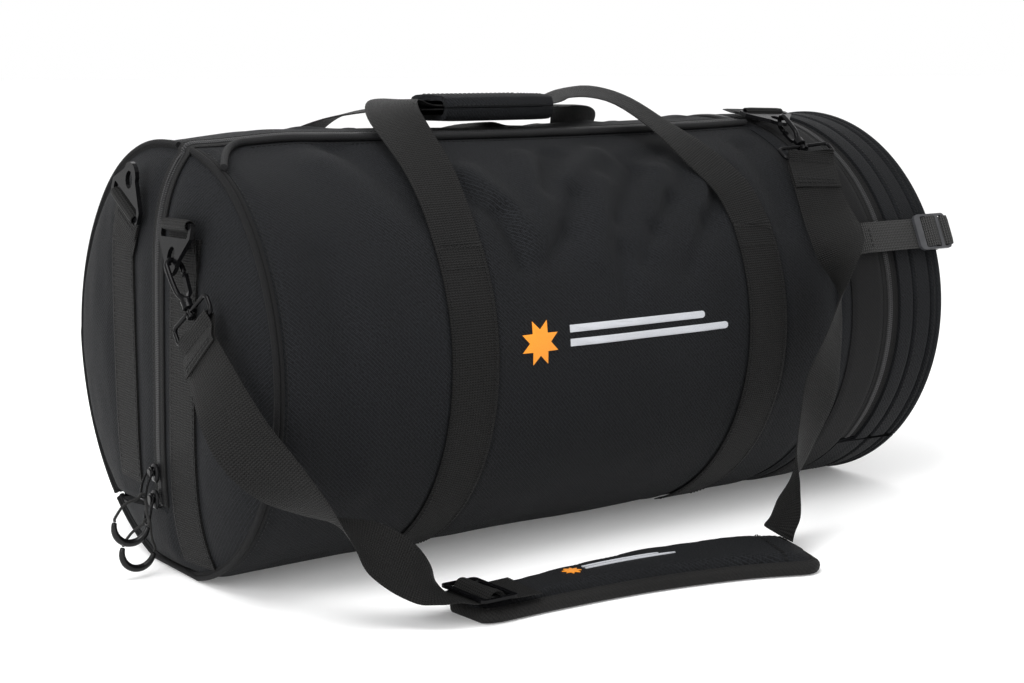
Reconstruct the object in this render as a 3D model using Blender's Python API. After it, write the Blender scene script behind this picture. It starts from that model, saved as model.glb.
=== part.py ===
"""Telescope carry case: a padded tube bag with a hinged back panel, an end pocket, handles and a shoulder strap.

Metres, +Z up. X runs along the barrel, the front is at -Y, and the origin is the middle of the flat underside.
An angle on the barrel is in degrees from its lowest line towards the front, so 90 faces front and 180 is the top.
"""

import math

import bmesh
import bpy
from mathutils import Matrix, Vector
from mathutils.geometry import tessellate_polygon

# Barrel
RADIUS = 0.158  # outside of the cover
SINK = 0.003  # how far the round section is pressed flat underneath
AXIS_Z = RADIUS - SINK
FLAT_EDGE = math.degrees(math.acos(AXIS_Z / RADIUS))
STEP = 7.0  # degrees between the sections of a round piece
GAP = 0.0003  # room between touching pieces
COVER = 0.0008
FOAM = 0.010
LEFT = -0.308  # plane of the left piping
MAIN_END = 0.190  # where the opening back panel stops
COLLAR_END = 0.205
BAND_END = 0.240
TEETH_X = 0.250  # parting plane of the end pocket's zipper
CAP_START = 0.260
RIGHT = 0.308  # plane of the right rim
PIPING = 0.003  # radius of the piping
RIM = RADIUS - 0.0048  # radius of the end panels
LEFT_DOME = 0.0165
RIGHT_DOME = 0.005
PANEL = 0.0012

# Main opening
PARTING = 167.1  # angle of the zipper's teeth on top
HINGE_ANGLE = -40.0  # fold line of the back panel
HINGE_Y = -RADIUS * math.sin(math.radians(HINGE_ANGLE))
HINGE_Z = AXIS_Z - RADIUS * math.cos(math.radians(HINGE_ANGLE))
ZIP_FOOT_Y, ZIP_FOOT_Z = -0.012, 0.050  # lower end of the zipper on the left end
TAPE = 0.0011
TEETH = 0.0011

# End pocket
SILL_Z = 0.043  # fold line of the end cap
SILL_ANGLE = math.degrees(math.acos((AXIS_Z - SILL_Z) / RADIUS))

# Webbing and handles
WEB = 0.040
WEB_THICK = 0.0015
NARROW_WEB = 0.025
HANDLE_LEFT, HANDLE_RIGHT = -0.159, 0.112
HANDLE_FOOT, HANDLE_TACK = 18.0, 121.0
GRIP_X = (-0.098, 0.000)
GRIP_Y = (-0.034, 0.018)
GRIP_Z = (0.3142, 0.3335)
GRIP_WALL = 0.0042
GRIP_SPLIT = 0.3241
FRONT_WEB_Z, BACK_WEB_Z, GRIP_WEB_Y = 0.3256, 0.3230, -0.008

# Hardware
WIRE = 0.0015
BAR = 0.0030  # thickness of a plate ring
RING_WIDE, RING_HIGH = 0.047, 0.034
EYE_MIDDLE, EYE_BAR = 0.0210, 0.0086  # from the foot bar to the eye, and from there to the bar round it
ROLL = 0.0035  # radius of a tab's rolled end, at the middle of the webbing
HOOK_REACH = 0.034

COLOURS = {
    "nylon": ((0.018, 0.019, 0.022), 0.75, 0.0),
    "webbing": ((0.014, 0.014, 0.014), 0.80, 0.0),
    "trim": ((0.050, 0.050, 0.052), 0.70, 0.0),
    "foam": ((0.060, 0.060, 0.062), 0.95, 0.0),
    "black_metal": ((0.012, 0.012, 0.013), 0.22, 1.0),
    "grey_plastic": ((0.110, 0.110, 0.118), 0.40, 0.0),
    "black_plastic": ((0.015, 0.015, 0.016), 0.35, 0.0),
}


def clear_scene():
    for found in list(bpy.data.objects):
        bpy.data.objects.remove(found)


def material(slot):
    """One Principled material for each colour, made at its first use."""
    made = bpy.data.materials.get(slot)
    if made:
        return made
    colour, roughness, metallic = COLOURS[slot]
    made = bpy.data.materials.new(slot)
    made.use_nodes = True
    shader = made.node_tree.nodes["Principled BSDF"]
    shader.inputs["Base Color"].default_value = (*colour, 1.0)
    shader.inputs["Roughness"].default_value = roughness
    shader.inputs["Metallic"].default_value = metallic
    made.diffuse_color = (*colour, 1.0)
    return made


def pivot(name, place, parent=None):
    """An empty on a joint's axis. Pieces that move together are its children."""
    empty = bpy.data.objects.new(name, None)
    empty.empty_display_size = 0.02
    bpy.context.scene.collection.objects.link(empty)
    empty.location = Vector(place) - (parent["world"] if parent else Vector())
    empty.parent = parent["empty"] if parent else None
    return {"empty": empty, "world": Vector(place)}


def add_mesh(name, vertices, faces, slot, body=None, smooth=40.0):
    """A named object from world points, with its faces turned outwards and its origin at its body's pivot."""
    origin = body["world"] if body else Vector()
    shape = bmesh.new()
    corners = [shape.verts.new(Vector(v) - origin) for v in vertices]
    for face in faces:
        shape.faces.new([corners[i] for i in face])
    bmesh.ops.remove_doubles(shape, verts=shape.verts, dist=1e-6)
    bmesh.ops.recalc_face_normals(shape, faces=shape.faces)
    mesh = bpy.data.meshes.new(name)
    shape.to_mesh(mesh)
    shape.free()
    mesh.shade_smooth()
    mesh.set_sharp_from_angle(angle=math.radians(smooth))
    mesh.materials.append(material(slot))
    made = bpy.data.objects.new(name, mesh)
    bpy.context.scene.collection.objects.link(made)
    if body:
        made.parent = body["empty"]
    return made


def loft(name, loops, slot, body=None, closed=False, web=False):
    """A skin over loops of equally many points. Open ends are capped by pairing points across the loop."""
    count = len(loops[0])
    vertices = [point for loop in loops for point in loop]
    faces = []
    for k in range(len(loops) if closed else len(loops) - 1):
        here, there = k * count, (k + 1) % len(loops) * count
        for i in range(count):
            j = (i + 1) % count
            faces.append((here + i, here + j, there + j, there + i))
        if web:  # both sides of a twisted web are folded along the same diagonal, so that it keeps its thickness
            faces[-4:-3] = [(here, here + 1, there + 1), (here, there + 1, there)]
            faces[-2:-1] = [(here + 2, here + 3, there + 2), (here + 3, there + 3, there + 2)]
    if not closed:
        for start in (0, (len(loops) - 1) * count):
            for i in range(count // 2 - 1):
                j = count - 1 - i
                faces.append((start + i, start + i + 1, start + j - 1, start + j))
    return add_mesh(name, vertices, faces, slot, body)


def rim(angle, radius, floor=0.0):
    """(y, z) at an angle on the barrel, pressed flat where it would go below floor."""
    turn = math.radians(angle)
    return -radius * math.sin(turn), max(AXIS_Z - radius * math.cos(turn), floor)


def angles(start, end):
    """The sections of a round piece: its ends, every STEP between them and the edges of the flat underside."""
    inside = [STEP * k for k in range(math.ceil(start / STEP), math.floor(end / STEP) + 1)]
    inside += [FLAT_EDGE, -FLAT_EDGE, 360 - FLAT_EDGE]
    inside = [a for a in inside if start + 0.8 < a < end - 0.8]
    return sorted([start, end, *inside])


def barrel_section(angle, profile, base=0.0):
    """The profile's (x, radius) points at an angle. The lowest of them rests at base, and the rest stay above it."""
    outer = max(radius for _, radius in profile)
    return [(x, *rim(angle, radius, base + outer - radius)) for x, radius in profile]


def barrel_piece(name, x0, x1, start, end, inner, outer, slot, body=None, base=0.0):
    """A piece of the barrel's wall between two planes, two angles and two radii; a whole ring if it spans 360."""
    profile = [(x0, outer), (x1, outer), (x1, inner), (x0, inner)]
    return barrel_profile(name, profile, start, end, slot, body, base)


def barrel_profile(name, profile, start, end, slot, body=None, base=0.0):
    whole = end - start >= 360
    turns = angles(start, end)[: -1 if whole else None]
    loops = [barrel_section(a, profile, base) for a in turns]
    return loft(name, loops, slot, body, closed=whole)


def zip_y(z):
    """Where the main zipper runs on the left end: it leans forwards, and more so near the top."""
    lean = -0.010 * (z - ZIP_FOOT_Z) / 0.19
    bend = -0.0115 * (max(z - 0.24, 0.0) / 0.069) ** 1.6
    return ZIP_FOOT_Y + lean + bend


def left_x(y, z):
    """The domed surface of the left end."""
    share = min(math.hypot(y, z - AXIS_Z) / RIM, 1.0)
    return LEFT - 0.0005 - LEFT_DOME * (1 - share**5)


def right_x(y, z):
    """The slightly domed surface of the end cap."""
    share = min(math.hypot(y, z - AXIS_Z) / RIM, 1.0)
    return RIGHT + 0.0005 + RIGHT_DOME * (1 - share**4)


def front_rows():
    """Rows across the front half of the left end: from the fold or the zipper to the rim."""
    rows = []
    for angle in angles(HINGE_ANGLE + 3, PARTING - 0.4):
        y_rim, z_rim = rim(angle, RIM, 0.0068)
        if angle <= 0:
            share = angle / HINGE_ANGLE
            start = (ZIP_FOOT_Y + (HINGE_Y - ZIP_FOOT_Y) * share, ZIP_FOOT_Z + (HINGE_Z - ZIP_FOOT_Z) * share - GAP)
        else:
            start = zip_point(angle / (PARTING - 0.4), -GAP)
        rows.append((start, (y_rim, z_rim)))
    return rows


def zip_point(share, aside):
    """A point of the parting line on the left end, from its foot (0) to the rim (1), moved aside along Y."""
    top = AXIS_Z - RIM * math.cos(math.radians(PARTING))
    z = ZIP_FOOT_Z + (top - ZIP_FOOT_Z) * share
    return zip_y(z) + aside, z


def back_rows():
    """Rows across the opening half of the left end."""
    low, high = -HINGE_ANGLE + 3, 360 - PARTING - 0.4
    rows = []
    for angle in angles(low, high):
        y_rim, z_rim = rim(-angle, RIM, 0.0068)
        start = zip_point((angle - low) / (high - low), GAP)
        rows.append(((start[0], start[1] + GAP), (y_rim, z_rim)))
    return rows


def end_panel(name, rows, near, far, slot, body=None, columns=7):
    """A panel over rows of the left or right end. near and far give the x of its two faces."""
    loops = []
    for (y0, z0), (y1, z1) in rows:
        across = [1 - (1 - k / columns) ** 1.4 for k in range(columns + 1)]
        line = [(y0 + (y1 - y0) * s, z0 + (z1 - z0) * s) for s in across]
        loop = [(near(y, z), y, z) for y, z in line]
        loop += [(far(y, z), y, z) for y, z in reversed(line)]
        loops.append(loop)
    return loft(name, loops, slot, body)


def smooth_route(stations, per=4):
    """A Catmull-Rom curve through equally long tuples of numbers, with per steps between stations."""
    rows = [Vector(s) for s in stations]
    rows = [rows[0] * 2 - rows[1], *rows, rows[-1] * 2 - rows[-2]]
    route = []
    for k in range(1, len(rows) - 2):
        p0, p1, p2, p3 = rows[k - 1 : k + 3]
        for i in range(per):
            t = i / per
            route.append(
                0.5 * ((2 * p1) + (p2 - p0) * t + (2 * p0 - 5 * p1 + 4 * p2 - p3) * t**2
                       + (3 * p1 - p0 - 3 * p2 + p3) * t**3)
            )
    return [*route, rows[-2]]


def ribbon(name, stations, width, slot, body=None, per=3, thick=WEB_THICK):
    """A flat web along stations, each a point and the direction of the web's width."""
    flat = smooth_route([(*point, *Vector(side).normalized()) for point, side in stations], per)
    points = [Vector(row[:3]) for row in flat]
    loops = []
    for k, row in enumerate(flat):
        along = (points[min(k + 1, len(points) - 1)] - points[max(k - 1, 0)]).normalized()
        side = Vector(row[3:])
        side = (side - along * side.dot(along)).normalized() * width / 2
        up = side.cross(along).normalized() * thick / 2
        loops.append([points[k] - side - up, points[k] + side - up, points[k] + side + up, points[k] - side + up])
    return loft(name, loops, slot, body, web=True)


def tube(name, stations, slot, body=None, closed=False, sides=8):
    """A round bar through stations, each a point and a radius. Its frame turns as little as it can."""
    points = [Vector(p) for p, _ in stations]
    count = len(points)
    tangents = []
    for k in range(count):
        ahead, behind = k, k
        while (points[ahead] - points[behind]).length < 1e-5:
            ahead = (ahead + 1) % count if closed else min(ahead + 1, count - 1)
            behind = (behind - 1) % count if closed else max(behind - 1, 0)
        tangents.append((points[ahead] - points[behind]).normalized())
    first = tangents[0].orthogonal().normalized()
    frames = [first]
    for k in range(1, count):
        turned = tangents[k - 1].rotation_difference(tangents[k]) @ frames[-1]
        frames.append((turned - tangents[k] * turned.dot(tangents[k])).normalized())
    twist = 0.0
    if closed:
        back = tangents[-1].rotation_difference(tangents[0]) @ frames[-1]
        twist = math.atan2(back.cross(first).dot(tangents[0]), back.dot(first))
    loops = []
    for k, (_, radius) in enumerate(stations):
        share = twist * k / count
        side = Matrix.Rotation(share, 3, tangents[k]) @ frames[k]
        other = tangents[k].cross(side)
        ring = [2 * math.pi * i / sides for i in range(sides)]
        loops.append([points[k] + (side * math.cos(a) + other * math.sin(a)) * radius for a in ring])
    return loft(name, loops, slot, body, closed=closed)


def in_frame(origin, ex, ey, points):
    """Points given in a local frame, in world coordinates. The third axis is ex x ey."""
    ex, ey = Vector(ex).normalized(), Vector(ey).normalized()
    ez = ex.cross(ey).normalized()
    return [Vector(origin) + ex * p[0] + ey * p[1] + ez * p[2] for p in points]


def plate(name, outline, holes, thick, origin, ex, ey, slot, body=None):
    """A flat plate with holes, from 2D outlines in the plane of ex and ey, half its thickness to each side."""
    outlines = [outline, *holes]
    flat = [p for line in outlines for p in line]
    count = len(flat)
    skin = tessellate_polygon([[Vector((x, y, 0)) for x, y in line] for line in outlines])
    local = [(x, y, side) for side in (-thick / 2, thick / 2) for x, y in flat]
    faces = [tuple(t) for t in skin] + [tuple(i + count for i in t) for t in skin]
    start = 0
    for line in outlines:
        for i in range(len(line)):
            j = (i + 1) % len(line)
            faces.append((start + i, start + j, start + j + count, start + i + count))
        start += len(line)
    return add_mesh(name, in_frame(origin, ex, ey, local), faces, slot, body)


def rounded(half_x, half_y, corner, centre=(0, 0), steps=3):
    """A rectangle with round corners."""
    line = []
    for quarter, (sx, sy) in enumerate(((1, 1), (-1, 1), (-1, -1), (1, -1))):
        for k in range(steps + 1):
            turn = math.pi / 2 * (quarter + k / steps)
            line.append(
                (centre[0] + sx * (half_x - corner) + corner * math.cos(turn),
                 centre[1] + sy * (half_y - corner) + corner * math.sin(turn))
            )
    return line


def ring_outline():
    """A plate ring: a wide foot for the webbing and a narrow round head. The foot bar is on the X axis."""
    foot, head = RING_WIDE / 2, 0.0092
    line = [(foot - 0.0015, -0.0018), (foot, 0.0), (foot, 0.0085)]
    top = RING_HIGH - head
    line += [(head * math.cos(t), top + head * math.sin(t)) for t in [math.pi * k / 8 for k in range(9)]]
    return [*line, (-foot, 0.0085), (-foot, 0.0), (-foot + 0.0015, -0.0018)]


def ring_plate(name, foot, along, out, body):
    """A plate ring with its foot bar's middle at foot, its bar along one direction and its head towards another."""
    slot_hole = rounded(0.0200, 0.0034, 0.0015, (0, 0.0018 + 0.0034), 1)
    eye = [(0.0054 * math.cos(t), EYE_MIDDLE + 0.0066 * math.sin(t)) for t in [math.pi * k / 6 for k in range(12)]]
    return plate(name, ring_outline(), [slot_hole, eye], BAR, foot, along, out, "black_metal", body)


def ring_tab(name, foot, along, tail, away, drop, body=None):
    """A web folded round a ring's foot bar: a tail on the bag and a roll round the bar.

    along is the bar's direction, tail the way the web runs off, and away the direction off the bag. The tail
    comes nearer the bag by drop.
    """
    along, tail, away = Vector(along).normalized(), Vector(tail).normalized(), Vector(away).normalized()
    route = [tail * 0.030 - away * (ROLL + drop), tail * 0.018 - away * (ROLL + drop * 0.7), tail * 0.008 - away * ROLL]
    for k in range(11):
        turn = math.radians(8 + 31 * k)
        route.append(-away * ROLL * math.cos(turn) - tail * ROLL * math.sin(turn))
    stations = [(Vector(foot) + p, along) for p in route]
    return ribbon(name, stations, WEB - 0.003, "webbing", body, per=1, thick=0.0013)


def hook(name, swivel, up, wide, body):
    """A snap hook on its swivel: a head under the strap loop's eye, a collar and an open hook round a ring's bar."""
    face = Vector(up).cross(Vector(wide)).normalized()
    stations = [(-0.0048, 0, 0.0030), (-0.0024, 0, 0.0030), (-0.0024, 0, 0.0014), (0.0024, 0, 0.0014),
                (0.0024, 0, 0.0038), (0.0090, 0, 0.0038), (0.0095, -0.0010, 0.0022), (0.0140, -0.0045, 0.0017),
                (0.0220, -0.0056, 0.0017), (0.0300, -0.0058, 0.0017)]
    for k in range(1, 8):
        turn = math.pi * (1 - k / 8)
        stations.append((HOOK_REACH + 0.0058 * math.sin(turn), 0.0058 * math.cos(turn), 0.0017))
    stations += [(0.0320, 0.0058, 0.0017), (0.0295, 0.0056, 0.0015)]
    up = Vector(up).normalized()
    made = [(Vector(swivel) + up * u + face * n, r) for u, n, r in stations]
    return tube(name, made, "black_metal", body)


def gate(name, swivel, up, wide, body):
    """The hook's gate: a flat lever from the collar to the hook's tip."""
    up = Vector(up).normalized()
    face = up.cross(Vector(wide)).normalized()
    outline = [(0.0112, 0.0017), (0.0112, 0.0040), (0.0135, 0.0060), (0.0285, 0.0074), (0.0285, 0.0046), (0.0150, 0.0034)]
    return plate(name, outline, [], 0.0034, swivel, up, face, "black_metal", body)


def held_bar(foot, along, head, up):
    """The middle of a ring's rim on the side a hook pulls it, when the hook points along up."""
    normal = along.cross(head)
    pull = -(up - normal * up.dot(normal)).normalized()
    return foot + head * EYE_MIDDLE + pull * EYE_BAR


def gate_pin(swivel, up, wide):
    """Where a gate turns."""
    up = Vector(up).normalized()
    return Vector(swivel) + up * 0.0120 + up.cross(Vector(wide)).normalized() * 0.0030


def strap_loop(name, swivel, up, wide):
    """A rectangular wire loop whose upper bar bends round the hook's stem."""
    up, wide = Vector(up).normalized(), Vector(wide).normalized()
    face = up.cross(wide)
    half, deep, bow = 0.0225, 0.0130, 0.0034
    local = [(-half + 0.003, 0, 0), (-0.010, 0, 0), (-bow - 0.0008, 0, 0)]
    local += [(-bow * math.cos(t), 0, bow * math.sin(t)) for t in [math.pi * k / 6 for k in range(1, 6)]]
    local += [(bow + 0.0008, 0, 0), (0.010, 0, 0), (half - 0.003, 0, 0), (half, -0.003, 0), (half, -deep + 0.003, 0),
              (half - 0.003, -deep, 0), (0, -deep, 0), (-half + 0.003, -deep, 0), (-half, -deep + 0.003, 0),
              (-half, -0.003, 0)]
    made = [(Vector(swivel) + wide * w + up * u + face * n, WIRE) for w, u, n in local]
    return tube(name, made, "black_metal", closed=True)


def panels():
    """The barrel's walls and both ends, in three bodies: the case, the opening back panel and the end cap."""
    top, inner = RADIUS, RADIUS - COVER
    foam_out = inner - GAP
    foam_in = foam_out - FOAM
    front, back = (HINGE_ANGLE, PARTING - 0.2), (PARTING + 0.2, 360 + HINGE_ANGLE - 0.4)
    cover_x, foam_x = (LEFT + 0.0035, MAIN_END - GAP), (LEFT + 0.0100, MAIN_END - GAP)
    barrel_piece("front_cover", *cover_x, *front, inner, top, "nylon")
    barrel_piece("front_foam", *foam_x, *front, foam_in, foam_out, "foam", None, COVER + GAP)
    barrel_piece("back_cover", *cover_x, *back, inner, top, "nylon", LID)
    barrel_piece("back_foam", *foam_x, *back, foam_in, foam_out, "foam", LID, COVER + GAP)
    barrel_piece("collar_cover", MAIN_END, COLLAR_END, 0, 360, inner, top, "nylon")
    barrel_piece("collar_foam", MAIN_END, BAND_END, 0, 360, foam_in - 0.0008, foam_out - 0.0008, "foam", None, 0.002)
    barrel_piece("band_ring", COLLAR_END + GAP, BAND_END, 0, 360, RADIUS - 0.0010, RADIUS + 0.0006, "webbing")
    for name, rows, body in (("front", front_rows(), None), ("back", back_rows(), LID)):
        end_panel(f"left_end_{name}", rows, left_x, lambda y, z: left_x(y, z) + PANEL, "nylon", body)
        end_panel(f"left_foam_{name}", rows, lambda y, z: left_x(y, z) + PANEL + GAP, lambda y, z: LEFT + 0.0095, "foam", body)
    disc = [(0.230, foam_in - 0.0014), (0.237, foam_in - 0.0014), (0.237, 0.002), (0.230, 0.002)]
    loops = [[(x, *rim(a, r, 0.0130 if r > 0.1 else 0.0)) for x, r in disc] for a in angles(0, 360)[:-1]]
    partition = loops
    flat = [loop[0][1:] for loop in partition]
    outline = [(y, z) for y, z in flat]
    plate("partition_pad", outline, [], 0.007, (0.2335, 0, 0), (0, 1, 0), (0, 0, 1), "foam")


def left_trim():
    """Piping round the left end, the webbing strips on it and the tabs of its two rings."""
    for name, (start, end), body in (("front", (HINGE_ANGLE + 1, PARTING - 0.9), None),
                                     ("back", (PARTING + 0.9, 359 + HINGE_ANGLE), LID)):
        route = [(LEFT, *rim(a, RADIUS - 0.0010, PIPING + 0.0002)) for a in angles(start, end)]
        tube(f"left_piping_{name}", [(p, PIPING) for p in route], "trim", body, sides=6)
    for name, head, foot, low, high, body in (("front", -0.0610, -0.0450, 0.0145, 0.243, None),
                                              ("back", 0.038, 0.038, 0.062, 0.243, LID)):
        loops = []
        for k in range(13):
            z = low + (high - low) * k / 12
            middle = foot + (head - foot) * k / 12
            line = [middle + WEB * (s - 0.5) * 0.92 for s in (0, 0.33, 0.67, 1)]
            loop = [(left_x(y, z) - GAP * 2, y, z) for y in line]
            loop += [(left_x(y, z) - GAP * 2 - 0.0014, y, z) for y in reversed(line)]
            loops.append(loop)
        loft(f"end_webbing_{name}", loops, "webbing", body)
    ring_tab("ring_tab_front", FRONT_RING, FRONT_ALONG, (0, -0.02, -0.9998), (-1, 0, 0), 0)
    ring_tab("ring_tab_back", BACK_RING, BACK_RING_ALONG, -BACK_RING_UP, (-1, 0, 0), 0, LID)
    ring_tab("ring_tab_right", RIGHT_RING, RIGHT_ALONG, -RIGHT_HEAD, RIGHT_AWAY, 0.0027)


def zipper():
    """The main zipper's tapes, each with its row of teeth as a ridge, and the storm flap's cord beside it."""
    base = RADIUS + GAP
    for name, edge, far, x_end, body in (("front", PARTING - 0.15, PARTING - 2.5, MAIN_END - 0.002, None),
                                         ("back", PARTING + 0.25, PARTING + 2.6, MAIN_END - 0.002, LID)):
        inward = 0.55 if far > edge else -0.55
        section = [(far, base), (edge, base), (edge, base + TAPE + TEETH), (edge + inward, base + TAPE + TEETH),
                   (edge + inward * 1.4, base + TAPE), (far, base + TAPE)]
        loops = [[(x, *rim(a, r)) for a, r in section] for x in (LEFT + 0.0045, x_end)]
        loft(f"zipper_top_{name}", loops, "trim", body)
    for name, sign, body in (("front", -1, None), ("back", 1, LID)):
        loops = []
        for k in range(19):
            z = ZIP_FOOT_Z + 0.002 + (0.291 - ZIP_FOOT_Z) * k / 18
            y = zip_y(z)
            line = ((0.0095, 0), (0.0004, 0), (0.0004, TAPE + TEETH), (0.0026, TAPE + TEETH), (0.0032, TAPE), (0.0095, TAPE))
            surface = left_x(y + sign * 0.005, z) - GAP * 2
            loops.append([(surface - off, y + sign * aside, z) for aside, off in line])
        loft(f"zipper_end_{name}", loops, "trim", body)
    route = []
    for k in range(26):
        x = LEFT + 0.0052 + (MAIN_END - 0.002 - LEFT - 0.0052) * k / 25
        turn = 163.0 - 7.5 * max(0.0, (-0.272 - x) / 0.031) ** 1.8
        route.append(((x, *rim(turn, RADIUS + 0.0029)), 0.0025))
    tube("storm_flap_cord", route, "trim")


def handle_stations(side, web_z):
    """A handle: up the panel, free over the top to the grip, through it and down again.

    side is 1 for the front and -1 for the back.
    """
    lift = 1.0 if side > 0 else 0.0
    foot = HANDLE_FOOT if side > 0 else 47.0
    up = [a for a in angles(foot, HANDLE_TACK)]
    on_bag = [(-side * -rim(a, RADIUS + 0.0012)[0] * -1, rim(a, RADIUS + 0.0012)[1]) for a in up]
    left = [((HANDLE_LEFT, side * rim(a, RADIUS + 0.0012)[0], z), (side, 0, 0)) for a, (_, z) in zip(up, on_bag)]
    right = [((HANDLE_RIGHT, side * rim(a, RADIUS + 0.0012)[0], z), (-side, 0, 0)) for a, (_, z) in zip(up, on_bag)]
    if lift:
        rise = [((-0.160, -0.1225, 0.2620), (1, 0, 0)), ((-0.160, -0.1010, 0.2870), (0.98, -0.15, 0)),
                ((-0.160, -0.0760, 0.3070), (0.93, -0.36, 0)), ((-0.156, -0.0520, 0.3210), (0.76, -0.65, 0)),
                ((-0.144, -0.0300, 0.3290), (0.42, -0.90, 0)), ((-0.126, -0.0140, 0.3300), (0.12, -0.99, 0)),
                ((-0.108, -0.0085, 0.3268), (0, -1, 0))]
        fall = [((0.012, -0.0095, 0.3280), (0, -1, 0)), ((0.026, -0.0150, 0.3335), (-0.22, -0.97, -0.10)),
                ((0.040, -0.0290, 0.3345), (-0.48, -0.85, -0.22)), ((0.055, -0.0500, 0.3275), (-0.78, -0.60, -0.15)),
                ((0.073, -0.0750, 0.3085), (-0.93, -0.33, 0)), ((0.092, -0.0990, 0.2855), (-1, -0.05, 0)),
                ((0.107, -0.1200, 0.2625), (-1, 0, 0))]
    else:
        rise = [((-0.160, 0.1210, 0.2620), (-1, 0, 0)), ((-0.160, 0.1000, 0.2860), (-0.98, -0.15, 0)),
                ((-0.158, 0.0780, 0.3030), (-0.95, -0.30, 0)), ((-0.153, 0.0560, 0.3130), (-0.80, -0.60, 0)),
                ((-0.143, 0.0360, 0.3190), (-0.55, -0.83, 0)), ((-0.128, 0.0150, 0.3225), (-0.25, -0.97, 0)),
                ((-0.112, -0.0040, 0.3230), (0, -1, 0))]
        fall = [((0.016, -0.0040, 0.3230), (0, -1, 0)), ((0.038, 0.0110, 0.3235), (0.30, -0.95, 0)),
                ((0.064, 0.0320, 0.3210), (0.60, -0.80, 0)), ((0.086, 0.0540, 0.3145), (0.85, -0.50, 0)),
                ((0.102, 0.0770, 0.3040), (0.96, -0.25, 0)), ((0.111, 0.1000, 0.2860), (1, 0, 0)),
                ((0.112, 0.1210, 0.2620), (1, 0, 0))]
    held = [((x, GRIP_WEB_Y, web_z), (0, -1, 0)) for x in (GRIP_X[0] + 0.002, -0.044, GRIP_X[1] - 0.002)]
    return [*left, *rise, *held, *fall, *reversed(right)]


def handles():
    ribbon("front_handle", handle_stations(1, FRONT_WEB_Z), WEB - 0.002, "webbing", None, per=2)
    ribbon("back_handle", handle_stations(-1, BACK_WEB_Z), WEB - 0.002, "webbing", LID, per=2)
    (y0, y1), (z0, z1), wall = GRIP_Y, GRIP_Z, GRIP_WALL
    body = [(y1 - 0.0055, z0), (y0 + 0.006, z0), (y0 + 0.0015, z0 + 0.003), (y0, z0 + 0.007), (y0, GRIP_SPLIT - GAP),
            (y0 + wall, GRIP_SPLIT - GAP), (y0 + wall, z0 + 0.008), (y0 + wall + 0.0025, z0 + wall), (y1 - 0.0055, z0 + wall)]
    body.insert(4, (y0, z0 + 0.0085))
    flap = [(y0, GRIP_SPLIT), (y0, z1 - 0.007), (y0 + 0.002, z1 - 0.002), (y0 + 0.008, z1), (y1 - 0.008, z1),
            (y1 - 0.002, z1 - 0.002), (y1, z1 - 0.007), (y1, z0 + 0.001), (y1 - wall, z0 + 0.001),
            (y1 - wall, z1 - 0.008), (y1 - wall - 0.0025, z1 - wall), (y0 + wall + 0.0025, z1 - wall),
            (y0 + wall, z1 - 0.008), (y0 + wall, GRIP_SPLIT)]
    for name, outline, mover in (("grip_body", body, LID), ("grip_flap", flap, FLAP)):
        middle = (GRIP_X[0] + GRIP_X[1]) / 2
        plate(name, outline, [], GRIP_X[1] - GRIP_X[0], (middle, 0, 0), (0, 1, 0), (0, 0, 1), "nylon", mover)


def end_pocket():
    """The end pocket: its zipper, the lower sill, the opening cap with its face, the strap and the buckle."""
    low, high = RADIUS - 0.0032, RADIUS - 0.0032 + 0.0008
    tape = [(BAND_END + GAP, high), (TEETH_X - 0.0020, high), (TEETH_X - 0.0018, high + TEETH), (TEETH_X - GAP, high + TEETH),
            (TEETH_X - GAP, low), (BAND_END + GAP, low)]
    mirrored = [(2 * TEETH_X - x, r) for x, r in tape]
    barrel_profile("end_zip_body", tape, SILL_ANGLE + 1, 359 - SILL_ANGLE, "trim")
    barrel_profile("end_zip_cap", mirrored, SILL_ANGLE + 1, 359 - SILL_ANGLE, "trim", CAP)
    wall = RADIUS - 0.011
    section = [(RIGHT - 0.0050, RADIUS), (RIGHT - 0.0045, RADIUS + 0.0012), (RIGHT - 0.0010, RADIUS + 0.0012),
               (RIGHT + 0.0015, RADIUS - 0.0010), (RIGHT + 0.0015, RADIUS - 0.0035), (RIGHT - 0.0010, RADIUS - 0.0044),
               (RIGHT - 0.0034, RADIUS - 0.0044), (RIGHT - 0.0034, wall)]
    sill = [(BAND_END + GAP, wall), (BAND_END + GAP, RADIUS), *section]
    barrel_profile("end_sill", sill, -SILL_ANGLE + 0.4, SILL_ANGLE - 0.4, "nylon")
    cap = [(CAP_START, wall), (CAP_START, RADIUS), *section]
    barrel_profile("cap_cover", cap, SILL_ANGLE + 0.4, 359.6 - SILL_ANGLE, "nylon", CAP)
    limit = SILL_Z - 0.0006
    sill_rows, cap_rows = [], []
    for k in range(9):
        z = 0.0068 + (limit - 0.0068) * k / 8
        reach = math.sqrt(RIM**2 - (AXIS_Z - z) ** 2)
        sill_rows.append(((-reach, z), (reach, z)))
    lowest = math.degrees(math.acos((AXIS_Z - SILL_Z - 0.0007) / RIM))
    for angle in angles(lowest, 176):
        y, z = rim(angle, RIM)
        cap_rows.append(((y, z), (-y, z)))
    end_panel("sill_face", sill_rows, lambda y, z: RIGHT - 0.003, right_x, "nylon", None, 10)
    end_panel("cap_face", cap_rows, lambda y, z: RIGHT - 0.003, right_x, "nylon", CAP, 12)


STRAP_ANGLE = 113.0
STRAP_OUT = Vector((0, -math.sin(math.radians(STRAP_ANGLE)), -math.cos(math.radians(STRAP_ANGLE))))
STRAP_UP = Vector((0, -STRAP_OUT.z, STRAP_OUT.y)) * -1


def strap_place(x, radius):
    return Vector((x, 0, AXIS_Z)) + STRAP_OUT * radius


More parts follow.
